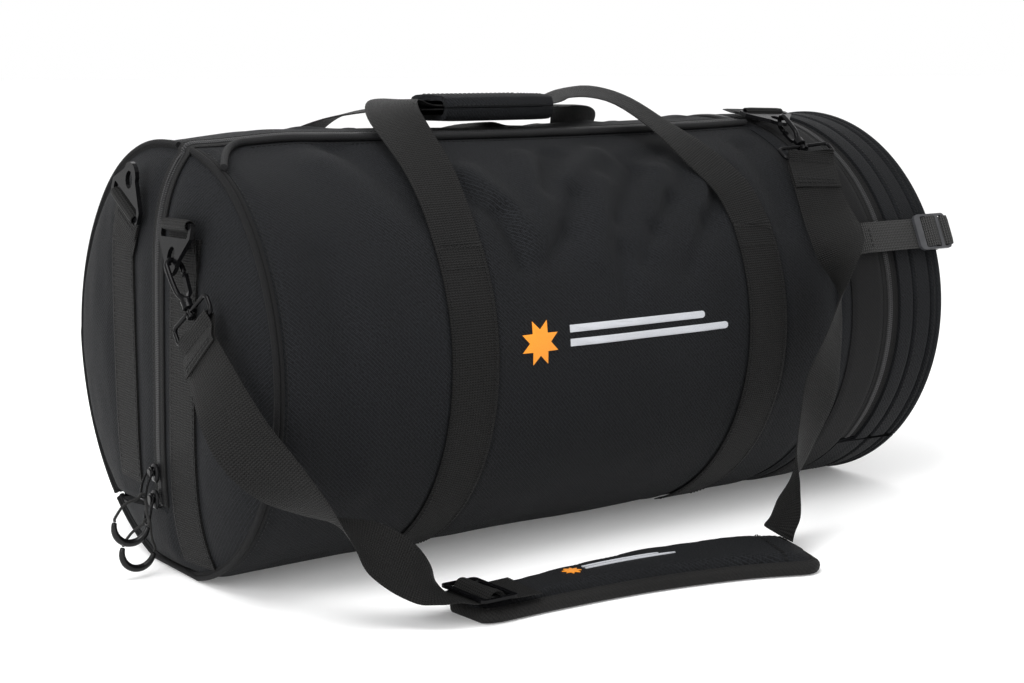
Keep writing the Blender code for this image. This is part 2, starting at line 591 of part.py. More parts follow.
def compression():
    """The short strap over the end zipper, threaded through a ladder lock on the cap."""
    heights = [(0.2075, 0.0018), (0.2140, 0.0020), (0.2240, 0.0052), (0.2450, 0.0062), (0.2700, 0.0062), (0.2800, 0.0062),
               (0.2880, 0.0062), (0.2930, 0.0098), (0.2965, 0.0122), (0.3000, 0.0122), (0.3035, 0.0105)]
    stations = [(strap_place(x, RADIUS + h), STRAP_UP) for x, h in heights]
    ribbon("compression_strap", stations, NARROW_WEB, "webbing", None, per=2)
    outline = rounded(0.0175, 0.0150, 0.0030)
    outline = [(x - (0.004 * (1 - (y / 0.015) ** 2) if x < 0 else 0), y) for x, y in outline]
    holes = [rounded(0.0036, 0.0132, 0.0010, (-0.0082, 0), 1), rounded(0.0036, 0.0132, 0.0010, (0.0024, 0), 1),
             rounded(0.0022, 0.0132, 0.0010, (0.0118, 0), 1)]
    plate("ladder_lock", outline, holes, 0.0024, strap_place(0.2995, RADIUS + 0.0088), (1, 0, 0), STRAP_UP, "grey_plastic", CAP)
    loop = [(0.3107, 0.0052), (0.3107, 0.0088), (0.3122, 0.0113), (0.3150, 0.0122), (0.3182, 0.0108), (0.3192, 0.0060),
            (0.3160, -0.0080), (0.3132, -0.0190), (0.3127, -0.0330)]
    ribbon("buckle_loop", [(strap_place(x, RADIUS + h), STRAP_UP) for x, h in loop], NARROW_WEB - 0.001, "webbing", CAP, per=2)


LEFT_STRAP = [
    ((-0.3378, -0.1024, 0.1836), (0.14, -0.79, 0.605)), ((-0.3400, -0.1130, 0.1725), (0.15, -0.78, 0.61)),
    ((-0.3415, -0.1300, 0.1590), (0.32, -0.72, 0.63)), ((-0.3410, -0.1480, 0.1410), (0.55, -0.60, 0.60)),
    ((-0.3345, -0.1640, 0.1200), (0.70, -0.50, 0.60)), ((-0.3180, -0.1770, 0.0980), (0.50, -0.80, 0.50)),
    ((-0.2960, -0.1850, 0.0780), (0.00, -0.95, 0.25)), ((-0.2780, -0.1920, 0.0650), (-0.50, -0.80, -0.10)),
    ((-0.2620, -0.1970, 0.0520), (-0.62, -0.50, -0.55)), ((-0.2460, -0.2010, 0.0390), (-0.50, -0.45, -0.70)),
    ((-0.2330, -0.2060, 0.0270), (-0.35, -0.65, -0.55)), ((-0.2240, -0.2100, 0.0200), (-0.15, -0.92, -0.25)),
    ((-0.2150, -0.2135, 0.0163), (0.00, -1.00, 0.00)), ((-0.2075, -0.2150, 0.0155), (0.02, -1.00, 0.00)),
    ((-0.2025, -0.2152, 0.0172), (0.02, -1.00, 0.00)), ((-0.1985, -0.2154, 0.0213), (0.02, -1.00, 0.00)),
    ((-0.1935, -0.2156, 0.0213), (0.02, -1.00, 0.00)), ((-0.1895, -0.2157, 0.0172), (0.02, -1.00, 0.00)),
    ((-0.1840, -0.2158, 0.0152), (0.02, -1.00, 0.00)), ((-0.1740, -0.2160, 0.0150), (0.02, -1.00, 0.00)),
    ((-0.1600, -0.2162, 0.0150), (0.02, -1.00, 0.00)),
]
RIGHT_STRAP = [
    ((0.1950, -0.1150, 0.2760), (0.97, -0.20, 0.10)), ((0.1890, -0.1300, 0.2620), (0.97, -0.22, 0.12)),
    ((0.1840, -0.1460, 0.2420), (0.90, -0.40, 0.18)), ((0.1740, -0.1700, 0.2200), (0.50, -0.84, 0.20)),
    ((0.1670, -0.1820, 0.1985), (-0.35, -0.92, 0.05)), ((0.1610, -0.1860, 0.1765), (-0.75, -0.65, 0.00)),
    ((0.1510, -0.1890, 0.1460), (-0.92, -0.38, -0.05)), ((0.1350, -0.1930, 0.1130), (-0.98, -0.15, -0.10)),
    ((0.1170, -0.1980, 0.0840), (-0.92, -0.38, -0.05)), ((0.0990, -0.2050, 0.0600), (-0.80, -0.60, 0.00)),
    ((0.0860, -0.2105, 0.0420), (-0.50, -0.86, 0.00)), ((0.0765, -0.2165, 0.0280), (-0.32, -0.95, 0.00)),
    ((0.0705, -0.2184, 0.0198), (-0.25, -0.97, 0.00)), ((0.0693, -0.2181, 0.0147), (-0.25, -0.97, 0.00)),
]
# The pad's middle line with its half width: narrow at the triglide and broad where the right run goes in.
PAD_ROUTE = [
    (-0.2060, -0.2135, 0.0215), (-0.1400, -0.2090, 0.0260), (-0.0620, -0.2085, 0.0325), (0.0140, -0.2200, 0.0375),
    (0.0730, -0.2410, 0.0400),
]
PAD_THICK = 0.0128
PAD_END = 0.018  # how far from each end its corners start to round


def pad_section(share):
    """The pad's middle, its half width and its sideways direction at a share of its length."""
    route = smooth_route(PAD_ROUTE, 8)
    place = share * (len(route) - 1)
    k = min(int(place), len(route) - 2)
    x, y, half = route[k].lerp(route[k + 1], place - k)
    along = Vector((route[k + 1] - route[k])[:2]).normalized()
    lengths = [(b - a).length for a, b in zip(route, route[1:])]
    edge = min(share, 1 - share) * sum(lengths)
    if edge < PAD_END:
        half -= (PAD_END - math.sqrt(PAD_END**2 - (PAD_END - edge) ** 2)) * half / 0.040
    return Vector((x, y)), half, Vector((-along.y, along.x))


def shoulder_strap():
    """Both runs of the shoulder strap, the pad that lies on the floor and the triglide on its left end."""
    ribbon("shoulder_strap_left", LEFT_STRAP, WEB, "webbing")
    ribbon("shoulder_strap_right", RIGHT_STRAP, WEB, "webbing")
    loops = []
    for share in (0.004, 0.02, 0.045, 0.10, 0.2, 0.3, 0.4, 0.5, 0.6, 0.7, 0.8, 0.9, 0.955, 0.98, 0.996):
        middle, half, aside = pad_section(share)
        section = [(-1, 0.0005), (-0.9, 0), (0.7, 0), (0.95, 0.0025), (1, 0.0060), (0.93, 0.0110), (0.6, PAD_THICK),
                   (-0.6, PAD_THICK), (-0.9, 0.0095), (-1, 0.0060)]
        loops.append([(*(middle + aside * half * s), z) for s, z in section])
    loft("shoulder_pad", loops, "nylon")
    holes = [rounded(0.0041, 0.0212, 0.0010, (side * 0.0061, 0), 1) for side in (-1, 1)]
    plate("triglide", rounded(0.0140, 0.0245, 0.0030), holes, 0.0020, (-0.196, -0.2155, 0.0183), (1, 0, 0), (-0.02, 1, 0),
          "black_metal")


def hardware():
    """Rings, hooks with their gates, and the strap loops."""
    ring_plate("ring_front_left", FRONT_RING, FRONT_ALONG, FRONT_HEAD, RING_FL)
    ring_plate("ring_back_left", BACK_RING, BACK_RING_ALONG, BACK_RING_UP, RING_BL)
    ring_plate("ring_right", RIGHT_RING, RIGHT_ALONG, RIGHT_HEAD, RING_R)
    for side, swivel, up, wide, turner, leaf in HOOKS:
        hook(f"hook_{side}", swivel, up, wide, turner)
        gate(f"gate_{side}", swivel, up, wide, leaf)
        strap_loop(f"strap_loop_{side}", swivel, up, wide)


def slider(name, place, body):
    """A zipper slider over the teeth on the left end, with a lug for its puller."""
    x, y, z = place
    outline = [(-0.0060, 0.0030), (-0.0040, 0.0046), (0.0050, 0.0046), (0.0065, 0.0020), (0.0065, -0.0020),
               (0.0050, -0.0046), (-0.0040, -0.0046), (-0.0060, -0.0030)]
    loops = []
    for off, scale in ((0.0, 1.0), (0.0018, 1.0), (0.0026, 0.82), (0.0026, 0.30), (0.0051, 0.30), (0.0051, 0.55), (0.0060, 0.50)):
        loops.append([(x - off, y + b * scale, z + a * scale) for a, b in outline])
    return loft(name, loops, "black_metal", body)


def pullers():
    """Each main slider's puller: a wire bail round its lug, a cord through the bail and a moulded grip."""
    for name, (x, y, z), slide_body, turn_body, aside, lean, grip in PULLERS:
        slider(f"slider_{name}", (x, y, z), slide_body)
        low = z - 0.016
        bail = [(0.0039, 0, z + 0.0043), (0.0039, 0.0036, z + 0.0026), (lean * 0.74, 0.0042, z - 0.005),
                (lean * 0.93, 0.0036, low + 0.0015), (lean, 0, low), (lean * 0.93, -0.0036, low + 0.0015),
                (lean * 0.74, -0.0042, z - 0.005), (0.0039, -0.0036, z + 0.0026)]
        bail = [(x - out, y + wide, height) for out, wide, height in bail]
        tube(f"puller_{name}", [(p, 0.0009) for p in bail], "black_metal", turn_body, closed=True, sides=6)
        (cx, cz), radius, start, end, grip_y = grip
        arc = [math.radians(start + (end - start) * k / 10) for k in range(11)]
        curve = [Vector((cx + radius * math.cos(t), grip_y, cz + radius * math.sin(t))) for t in arc]
        ends = [(curve[0], 0.0016), *[(p, 0.0026) for p in curve[1:-1]], (curve[-1], 0.0016)]
        tube(f"pull_grip_{name}", ends, "black_plastic", turn_body)
        out = (curve[0] - curve[1]).normalized() * 0.0013
        home = (curve[-1] - curve[-2]).normalized() * 0.0013
        turn = [(x - lean - 0.0027 * math.cos(t), y, low + 0.0027 * math.sin(t)) for t in [math.pi * k / 4 for k in range(5)]]
        outer, inner = Vector(turn[0]), Vector(turn[-1])
        run = [curve[0] + out, curve[0] + out * 3, curve[0].lerp(outer, 0.6) + Vector((-aside, 0, aside)),
               *[Vector(p) for p in turn], curve[-1].lerp(inner, 0.5), curve[-1] + home * 3, curve[-1] + home]
        tube(f"pull_cord_{name}", [(p, 0.0010) for p in smooth_route(run, 3)], "webbing", turn_body)


def end_slider():
    """The slider of the end pocket's zipper, parked at the back, with its tab lying along the tape."""
    loops = []
    for turn, half, low, high in ((303.6, 0.0030, -0.0010, 0.0012), (304.4, 0.0042, -0.0010, 0.0022),
                                  (307.4, 0.0042, -0.0010, 0.0022), (308.0, 0.0030, -0.0010, 0.0012)):
        section = [(TEETH_X - half, RADIUS + low), (TEETH_X + half, RADIUS + low), (TEETH_X + half, RADIUS + high),
                   (TEETH_X - half, RADIUS + high)]
        loops.append([(x, *rim(turn, r)) for x, r in section])
    loft("end_slider", loops, "black_metal", ENDZIP)
    loops = []
    for turn, half in ((301.4, 0.0016), (301.9, 0.0028), (305.4, 0.0028), (306.0, 0.0016)):
        section = [(TEETH_X - half, RADIUS + 0.0026), (TEETH_X + half, RADIUS + 0.0026), (TEETH_X + half, RADIUS + 0.0037),
                   (TEETH_X - half, RADIUS + 0.0037)]
        loops.append([(x, *rim(turn, r)) for x, r in section])
    loft("end_pull_tab", loops, "black_metal", ENDTAB)


clear_scene()

FRONT_RING = Vector((-0.3308, -0.0640, 0.2525))
FRONT_HEAD = Vector((-0.20, -0.02, -0.98)).normalized()
FRONT_ALONG = Vector((0, 0.9998, -0.0204)).normalized()
BACK_RING = Vector((-0.3308, 0.0185, 0.2598))
BACK_RING_ALONG = Vector((0, 0.875, 0.484)).normalized()
BACK_RING_UP = Vector((0, -0.484, 0.875)).normalized()
RIGHT_RING_ANGLE = 165.0
RIGHT_RING = Vector((0.2110, *rim(RIGHT_RING_ANGLE, RADIUS + 0.0085)))
RIGHT_AWAY = Vector((0, *rim(RIGHT_RING_ANGLE, 1.0))) - Vector((0, 0, AXIS_Z))
RIGHT_SLOPE = (Vector((0, *rim(RIGHT_RING_ANGLE - 11, RADIUS + 0.0115))) - Vector((0, RIGHT_RING.y, RIGHT_RING.z))).normalized()
RIGHT_SKEW = math.radians(6)
RIGHT_ALONG = Vector((1, 0, 0)) * math.cos(RIGHT_SKEW) + RIGHT_SLOPE * math.sin(RIGHT_SKEW)
RIGHT_HEAD = RIGHT_SLOPE * math.cos(RIGHT_SKEW) - Vector((1, 0, 0)) * math.sin(RIGHT_SKEW)
LEFT_UP = Vector((0.0, 0.609, 0.793)).normalized()
LEFT_WIDE = Vector((0.14, -0.79, 0.605)).normalized()
RIGHT_UP = Vector((0.16, 0.84, 0.52)).normalized()
RIGHT_WIDE = Vector((0.966, -0.241, 0.093)).normalized()
LEFT_SWIVEL = held_bar(FRONT_RING, FRONT_ALONG, FRONT_HEAD, LEFT_UP) - LEFT_UP * HOOK_REACH
RIGHT_SWIVEL = held_bar(RIGHT_RING, RIGHT_ALONG, RIGHT_HEAD, RIGHT_UP) - RIGHT_UP * HOOK_REACH
SLIDER_X = -0.3284

LID = pivot("lid_pivot", (0, HINGE_Y, HINGE_Z))
CAP = pivot("cap_pivot", (RIGHT + 0.0046, 0, SILL_Z))
FLAP = pivot("flap_pivot", (0, GRIP_Y[0], GRIP_SPLIT), LID)
RING_FL = pivot("ring_front_left_pivot", FRONT_RING)
RING_BL = pivot("ring_back_left_pivot", BACK_RING, LID)
RING_R = pivot("ring_right_pivot", RIGHT_RING)
HOOK_L = pivot("hook_left_pivot", LEFT_SWIVEL)
HOOK_R = pivot("hook_right_pivot", RIGHT_SWIVEL)
GATE_L = pivot("gate_left_pivot", gate_pin(LEFT_SWIVEL, LEFT_UP, LEFT_WIDE), HOOK_L)
GATE_R = pivot("gate_right_pivot", gate_pin(RIGHT_SWIVEL, RIGHT_UP, RIGHT_WIDE), HOOK_R)
HOOKS = (("left", LEFT_SWIVEL, LEFT_UP, LEFT_WIDE, HOOK_L, GATE_L),
         ("right", RIGHT_SWIVEL, RIGHT_UP, RIGHT_WIDE, HOOK_R, GATE_R))
UPPER = (SLIDER_X, zip_y(0.076), 0.076)
LOWER = (SLIDER_X, zip_y(0.057), 0.057)
SLIDE_U = pivot("slider_upper_pivot", UPPER)
SLIDE_L = pivot("slider_lower_pivot", LOWER)
PULL_U = pivot("puller_upper_pivot", (UPPER[0] - 0.0039, UPPER[1], UPPER[2] + 0.0043), SLIDE_U)
PULL_L = pivot("puller_lower_pivot", (LOWER[0] - 0.0039, LOWER[1], LOWER[2] + 0.0043), SLIDE_L)
PULLERS = (("upper", UPPER, SLIDE_U, PULL_U, 0.0030, 0.0114, ((-0.3520, 0.0440), 0.0125, 165, 345, -0.0215)),
           ("lower", LOWER, SLIDE_L, PULL_L, 0.0015, 0.0084, ((-0.3400, 0.0195), 0.0120, 160, 345, -0.0040)))
ENDZIP = pivot("end_slider_pivot", (TEETH_X, 0, AXIS_Z))
ENDTAB = pivot("end_tab_pivot", (TEETH_X, *rim(305.8, RADIUS + 0.0031)), ENDZIP)

panels()
left_trim()
zipper()
handles()
end_pocket()
compression()
shoulder_strap()
hardware()
pullers()
end_slider()
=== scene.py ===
"""Looks of the telescope carry case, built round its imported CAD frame.

Metres, in the CAD's frame: X runs along the barrel, the front is at -Y and the floor is z = 0. An angle
on the barrel is in degrees from its lowest line towards the front, so 90 faces front and 180 is the top.
"""

import math

import bmesh
import bpy
import numpy as np
from mathutils import Matrix, Vector, noise


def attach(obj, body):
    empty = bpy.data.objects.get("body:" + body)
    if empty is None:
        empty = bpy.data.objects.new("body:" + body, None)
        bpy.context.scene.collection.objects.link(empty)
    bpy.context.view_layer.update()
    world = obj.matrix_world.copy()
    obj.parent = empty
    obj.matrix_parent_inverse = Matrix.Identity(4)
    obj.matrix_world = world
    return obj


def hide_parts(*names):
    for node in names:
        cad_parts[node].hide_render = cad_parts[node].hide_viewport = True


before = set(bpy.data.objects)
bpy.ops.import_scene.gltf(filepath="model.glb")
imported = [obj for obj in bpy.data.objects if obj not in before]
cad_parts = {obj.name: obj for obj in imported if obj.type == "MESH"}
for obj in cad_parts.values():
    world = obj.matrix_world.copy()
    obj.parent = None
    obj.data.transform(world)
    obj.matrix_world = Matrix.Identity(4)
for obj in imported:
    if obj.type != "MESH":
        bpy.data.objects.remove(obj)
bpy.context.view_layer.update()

# ---------------------------------------------------------------- sizes, as in the CAD
RADIUS, SINK = 0.158, 0.003
AXIS_Z = RADIUS - SINK
GAP = 0.0003
LEFT, RIGHT = -0.308, 0.308
MAIN_END, COLLAR_END, BAND_END, TEETH_X, CAP_START = 0.190, 0.205, 0.240, 0.250, 0.260
PARTING, HINGE_ANGLE = 167.1, -40.0
FLAP_ANGLE, STRAP_ANGLE = 163.0, 113.0
HINGE_Y = -RADIUS * math.sin(math.radians(HINGE_ANGLE))
HINGE_Z = AXIS_Z - RADIUS * math.cos(math.radians(HINGE_ANGLE))
RIM = RADIUS - 0.0048
LEFT_DOME, RIGHT_DOME = 0.0165, 0.005
ZIP_FOOT_Y, ZIP_FOOT_Z = -0.012, 0.050
SILL_Z = 0.043
SILL_ANGLE = math.degrees(math.acos((AXIS_Z - SILL_Z) / RADIUS))
WEB = 0.040
HANDLE_LEFT, HANDLE_RIGHT = -0.159, 0.112
HANDLE_FOOT, HANDLE_BACK_FOOT, HANDLE_TACK = 18.0, 47.0, 121.0
GRIP_X, GRIP_Y, GRIP_Z = (-0.098, 0.000), (-0.034, 0.018), (0.3142, 0.3335)
GRIP_WALL, GRIP_SPLIT, GRIP_WEB_Y = 0.0042, 0.3241, -0.008
FRONT_WEB_Z, BACK_WEB_Z = 0.3256, 0.3230
ROLL = 0.0035
HOOK_REACH, EYE_MIDDLE, EYE_BAR = 0.034, 0.0210, 0.0086


# ---------------------------------------------------------------- materials
YARN, TWIST = 0.0022, 0.0009


class Shader:
    """A material's node tree, with short ways to add to it."""

    def __init__(self, name):
        self.material = bpy.data.materials.new(name)
        self.material.use_nodes = True
        self.tree = self.material.node_tree
        self.surface = self.tree.nodes["Principled BSDF"]

    def node(self, kind, inputs=None, **settings):
        made = self.tree.nodes.new("ShaderNode" + kind)
        for key, value in settings.items():
            setattr(made, key, value)
        for key, value in (inputs or {}).items():
            if isinstance(value, bpy.types.NodeSocket):
                self.tree.links.new(value, made.inputs[key])
            else:
                made.inputs[key].default_value = value
        return made

    def math(self, operation, a, b=0.0):
        return self.node("Math", {0: a, 1: b}, operation=operation).outputs[0]

    def set(self, **values):
        for key, value in values.items():
            name = key.replace("_", " ").title().replace("Ior", "IOR")
            if isinstance(value, bpy.types.NodeSocket):
                self.tree.links.new(value, self.surface.inputs[name])
            else:
                self.surface.inputs[name].default_value = value

    def add(self, a, b):
        return self.math("ADD", a, b)

    def times(self, a, b):
        return self.math("MULTIPLY", a, b)

    def wave(self, value, turn):
        return self.math("SINE", self.times(value, turn))

    def ramp(self, factor, stops):
        made = self.node("ValToRGB", {"Fac": factor})
        elements = made.color_ramp.elements
        while len(elements) < len(stops):
            elements.new(0.5)
        for element, (place, colour) in zip(elements, stops):
            element.position = place
            element.color = (*colour, 1.0)
        return made.outputs["Color"]

    def bump(self, height, strength, distance):
        return self.node("Bump", {"Height": height, "Strength": strength,
                                  "Distance": distance}).outputs["Normal"]

    def noise(self, place, scale, detail=2.0, roughness=0.5):
        made = self.node("TexNoise", {"Vector": place, "Scale": scale, "Detail": detail,
                                      "Roughness": roughness})
        return made.outputs["Fac"]

    def woven(self, height, stops, colour, contrast, slow, spread):
        """The yarns' colour by their height, times a slow change over the piece."""
        tones = [scaled(colour, 1 - contrast), scaled(colour, 1 + contrast)]
        weave = self.ramp(height, list(zip(stops, tones)))
        shade = self.ramp(slow, [(0.3, (1 - spread,) * 3), (0.7, (1 + spread,) * 3)])
        mix = {"Fac": 1.0, "Color1": weave, "Color2": shade}
        return self.node("MixRGB", mix, blend_type="MULTIPLY").outputs[0]


def scaled(colour, amount):
    return tuple(c * amount for c in colour)


def cloth(name, colour, pitch, contrast, roughness=0.74, sheen=0.012, wide=1.0, fuzz=1.0, specular=0.10):
    """Woven cloth on UVs in metres: warp and weft at a pitch, uneven yarn, and slow changes of tone."""
    s = Shader(name)
    uv = s.node("UVMap").outputs["UV"]
    split = s.node("SeparateXYZ", {0: uv})
    turn = 2 * math.pi / pitch
    warp, weft = s.wave(split.outputs[0], turn / wide), s.wave(split.outputs[1], turn)
    diagonal = s.wave(s.add(split.outputs[0], split.outputs[1]), turn * 0.5)
    weave = s.add(s.times(s.times(warp, weft), 0.30), s.times(diagonal, 0.15))
    yarn = s.noise(uv, 620.0, 3.0, 0.8)
    weave = s.add(s.add(weave, 0.5), s.times(s.math("SUBTRACT", yarn, 0.5), 0.9 * fuzz))
    slow = s.noise(s.node("TexCoord").outputs["Object"], 9.0, 3.0)
    mixed = s.woven(weave, (0.32, 0.68), colour, contrast, slow, 0.12)
    rough = s.add(s.times(slow, 0.10), roughness - 0.05)
    s.set(base_color=mixed, roughness=rough, normal=s.bump(weave, 0.8, 0.0005), sheen_weight=sheen,
          sheen_roughness=0.45, specular_ior_level=specular)
    return s.material


def webbing(name, colour, rib=0.0018, contrast=0.70, specular=0.12):
    """Flat webbing: ribs across its width, broken by the lengthwise yarns that bind them."""
    s = Shader(name)
    uv = s.node("UVMap").outputs["UV"]
    split = s.node("SeparateXYZ", {0: uv})
    across = s.wave(split.outputs[0], 2 * math.pi / YARN)
    ribs = s.math("SINE", s.add(s.times(split.outputs[1], 2 * math.pi / rib), s.times(across, 0.9)))
    yarn = s.noise(uv, 1100.0, 2.0, 0.6)
    height = s.add(s.times(ribs, 0.32), s.times(across, 0.14))
    height = s.add(s.add(height, 0.5), s.times(s.math("SUBTRACT", yarn, 0.5), 0.9))
    slow = s.noise(s.node("TexCoord").outputs["Object"], 14.0)
    mixed = s.woven(height, (0.2, 0.8), colour, contrast, slow, 0.1)
    s.set(base_color=mixed, roughness=0.62, normal=s.bump(height, 1.0, 0.0009), sheen_weight=0.008,
          sheen_roughness=0.4, specular_ior_level=specular)
    return s.material


def hard(name, colour, roughness, metallic=0.0, coat=0.0, specular=0.5):
    """Painted metal or moulded plastic: faint mottling of its tone and gloss, and a slight orange peel."""
    s = Shader(name)
    place = s.node("TexCoord").outputs["Object"]
    mottle, fine = s.noise(place, 160.0, 4.0), s.noise(place, 1500.0)
    tone = s.ramp(mottle, [(0.3, scaled(colour, 0.8)), (0.7, scaled(colour, 1.25))])
    rough = s.add(s.times(mottle, 0.16), roughness - 0.08)
    s.set(base_color=tone, roughness=rough, metallic=metallic, coat_weight=coat, coat_roughness=0.12,
          specular_ior_level=specular, normal=s.bump(fine, 0.12, 0.0001))
    return s.material


def thread(name, colour, sheen, specular):
    """Embroidery and stitching thread: a satin with its twist showing."""
    s = Shader(name)
    uv = s.node("UVMap").outputs["UV"]
    split = s.node("SeparateXYZ", {0: uv})
    lay = s.wave(s.add(split.outputs[0], split.outputs[1]), 2 * math.pi / TWIST)
    noisy = s.noise(uv, 2500.0)
    height = s.add(s.times(lay, 0.3), noisy)
    tone = s.ramp(height, [(0.2, scaled(colour, 0.72)), (0.9, scaled(colour, 1.15))])
    s.set(base_color=tone, roughness=0.5, normal=s.bump(height, 0.5, 0.0003), sheen_weight=sheen,
          specular_ior_level=specular)
    return s.material


def rough_floor():
    s = Shader("studio_floor")
    grain = s.noise(s.node("TexCoord").outputs["Object"], 3.0)
    s.set(base_color=s.ramp(grain, [(0.3, (0.90, 0.90, 0.90)), (0.7, (0.92, 0.92, 0.92))]), roughness=0.75,
          specular_ior_level=0.2, emission_color=(1.0, 1.0, 1.0, 1.0), emission_strength=0.12)
    return s.material


NYLON = (0.0066, 0.0071, 0.0082)
MATERIALS = {
    "nylon": cloth("black_nylon_twill", NYLON, 0.0015, 0.75, fuzz=1.9),
    "webbing": webbing("black_webbing", (0.0062, 0.0061, 0.0060)),
    "webbing_grey": webbing("grey_webbing", (0.0300, 0.0298, 0.0295)),
    "binding": cloth("textured_binding", (0.0100, 0.0098, 0.0096), 0.0016, 0.45, wide=1.6, fuzz=1.3),
    "tape": cloth("zipper_tape", (0.0098, 0.0098, 0.0100), 0.0010, 0.30, wide=1.4),
    "piping": cloth("piping_cloth", (0.0062, 0.0062, 0.0066), 0.0011, 0.30),
    "flap": cloth("flap_piping_cloth", (0.0095, 0.0096, 0.0102), 0.0011, 0.35, specular=0.16),
    "band": cloth("band_cloth", (0.0080, 0.0080, 0.0084), 0.0014, 0.5, specular=0.10),
    "lining": cloth("grey_lining", (0.0300, 0.0304, 0.0320), 0.0014, 0.22, roughness=0.7, specular=0.2),
    "cord": cloth("braided_cord", (0.0110, 0.0108, 0.0105), 0.0008, 0.45, wide=0.6, specular=0.35),
    "metal": hard("black_lacquered_metal", (0.0024, 0.0024, 0.0027), 0.20, specular=0.10),
    "slider": hard("black_slider_metal", (0.0036, 0.0036, 0.0040), 0.24, specular=0.16),
    # The coil's black is set about twice as bright as the tape's as a painted highlight, so the teeth show
    # under the flat light
    "coil": hard("zipper_coil", (0.0210, 0.0210, 0.0220), 0.36, specular=0.4),
    "plastic": hard("grey_moulded_plastic", (0.0330, 0.0335, 0.0370), 0.36, specular=0.4),
    "grip": hard("black_moulded_grip", (0.0040, 0.0040, 0.0042), 0.26, specular=0.22),
    "stitch": thread("black_thread", (0.0080, 0.0080, 0.0083), 0.02, 0.12),
    "orange": thread("orange_thread", (0.80, 0.27, 0.012), 0.1, 0.3),
    "silver": thread("silver_thread", (0.46, 0.47, 0.50), 0.1, 0.3),
}


# ---------------------------------------------------------------- camera
CAMERA_AT = Vector((-0.831, -1.138, 0.359))
CAMERA_LOOK = Vector((0.5755, 0.8028, -0.1560))
camera_data = bpy.data.cameras.new("photo_camera")
camera_data.lens = 62.6
camera_data.sensor_width = 36.0
camera = bpy.data.objects.new("photo_camera", camera_data)
camera.location = CAMERA_AT
camera.rotation_euler = CAMERA_LOOK.to_track_quat("-Z", "Y").to_euler()
bpy.context.scene.collection.objects.link(camera)
bpy.context.scene.camera = camera


# ---------------------------------------------------------------- mesh tools
def unit(direction):
    return Vector(direction).normalized()


def ripple(*place):
    return noise.noise(Vector(place))


def straight(line, out):
    """A row of stitches that all stand out the same way."""
    return line, [out] * len(line)


def place_piece(made, look, body, nodes):
    made.data.materials.append(MATERIALS[look])
    bpy.context.scene.collection.objects.link(made)
    if nodes:
        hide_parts(*nodes)
    if body:
        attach(made, body)
    return made


def clean_mesh(name, vertices, faces, uvs=None):
    """A mesh with doubles merged and faces turned out; uvs holds one (u, v) in metres for each corner."""
    mesh = bpy.data.meshes.new(name)
    mesh.from_pydata([tuple(v) for v in vertices], [], faces)
    if uvs is not None:
        layer = mesh.uv_layers.new(name="UVMap")
        layer.data.foreach_set("uv", np.asarray(uvs, np.float32).reshape(-1))
    shape = bmesh.new()
    shape.from_mesh(mesh)
    bmesh.ops.remove_doubles(shape, verts=shape.verts, dist=1e-6)
    bmesh.ops.recalc_face_normals(shape, faces=shape.faces)
    shape.to_mesh(mesh)
    shape.free()
    return mesh


def piece(name, vertices, faces, uvs, look, body, nodes=(), smooth=45.0):
    mesh = clean_mesh(name, vertices, faces, uvs)
    mesh.shade_smooth()
    if smooth < 180:
        mesh.set_sharp_from_angle(angle=math.radians(smooth))
    return place_piece(bpy.data.objects.new(name, mesh), look, body, nodes)


def loft_data(loops, closed=False):
    """Vertices, faces and UVs of a skin over closed loops of equally many points."""
    points = np.array([[tuple(p) for p in loop] for loop in loops], float)
    rows, count = points.shape[:2]
    sides = np.linalg.norm(np.roll(points, -1, 1) - points, axis=2).mean(0)
    ring = np.concatenate([[0.0], np.cumsum(sides)])
    steps = np.linalg.norm(np.roll(points, -1, 0) - points, axis=2).mean(1)
    along = np.concatenate([[0.0], np.cumsum(steps)])
    faces, uvs = [], []
    for k in range(rows if closed else rows - 1):
        here, there = k * count, (k + 1) % rows * count
        for i in range(count):
            j = (i + 1) % count
            faces.append((here + i, here + j, there + j, there + i))
            uvs += [(ring[i], along[k]), (ring[i + 1], along[k]), (ring[i + 1], along[k + 1]),
                    (ring[i], along[k + 1])]
    if not closed:
        for start in (0, (rows - 1) * count):
            for i in range(count // 2 - 1):
                j = count - 1 - i
                faces.append((start + i, start + i + 1, start + j - 1, start + j))
                uvs += [(ring[i], 0.0), (ring[i + 1], 0.0), (ring[i + 1], 0.001), (ring[i], 0.001)]
    return points.reshape(-1, 3), faces, uvs


def loft(name, loops, look, body, nodes=(), closed=False, smooth=45.0):
    return piece(name, *loft_data(loops, closed), look, body, nodes, smooth)


def joined(parts):
    """Several (vertices, faces, uvs) as one."""
    vertices, faces, uvs = [], [], []
    for points, corners, places in parts:
        start = len(vertices)
        vertices += [tuple(p) for p in points]
        faces += [tuple(i + start for i in face) for face in corners]
        uvs += list(places)
    return vertices, faces, uvs


def smooth_route(stations, per=4):
    rows = [Vector(s) for s in stations]
    rows = [rows[0] * 2 - rows[1], *rows, rows[-1] * 2 - rows[-2]]
    route = []
    for k in range(1, len(rows) - 2):
        p0, p1, p2, p3 = rows[k - 1 : k + 3]
        for i in range(per):
            t = i / per
            route.append(
                0.5 * ((2 * p1) + (p2 - p0) * t + (2 * p0 - 5 * p1 + 4 * p2 - p3) * t**2
                       + (3 * p1 - p0 - 3 * p2 + p3) * t**3)
            )
    return [*route, rows[-2]]


def web_frames(stations, per=5):
    """(point, side, up) along a web, from stations of a point and a direction of its width."""
    flat = smooth_route([(*point, *unit(side)) for point, side in stations], per)
    points = [Vector(row[:3]) for row in flat]
    frames = []
    for k, row in enumerate(flat):
        along = (points[min(k + 1, len(points) - 1)] - points[max(k - 1, 0)]).normalized()
        side = Vector(row[3:])
        side = (side - along * side.dot(along)).normalized()
        frames.append((points[k], side, side.cross(along).normalized()))
    return frames


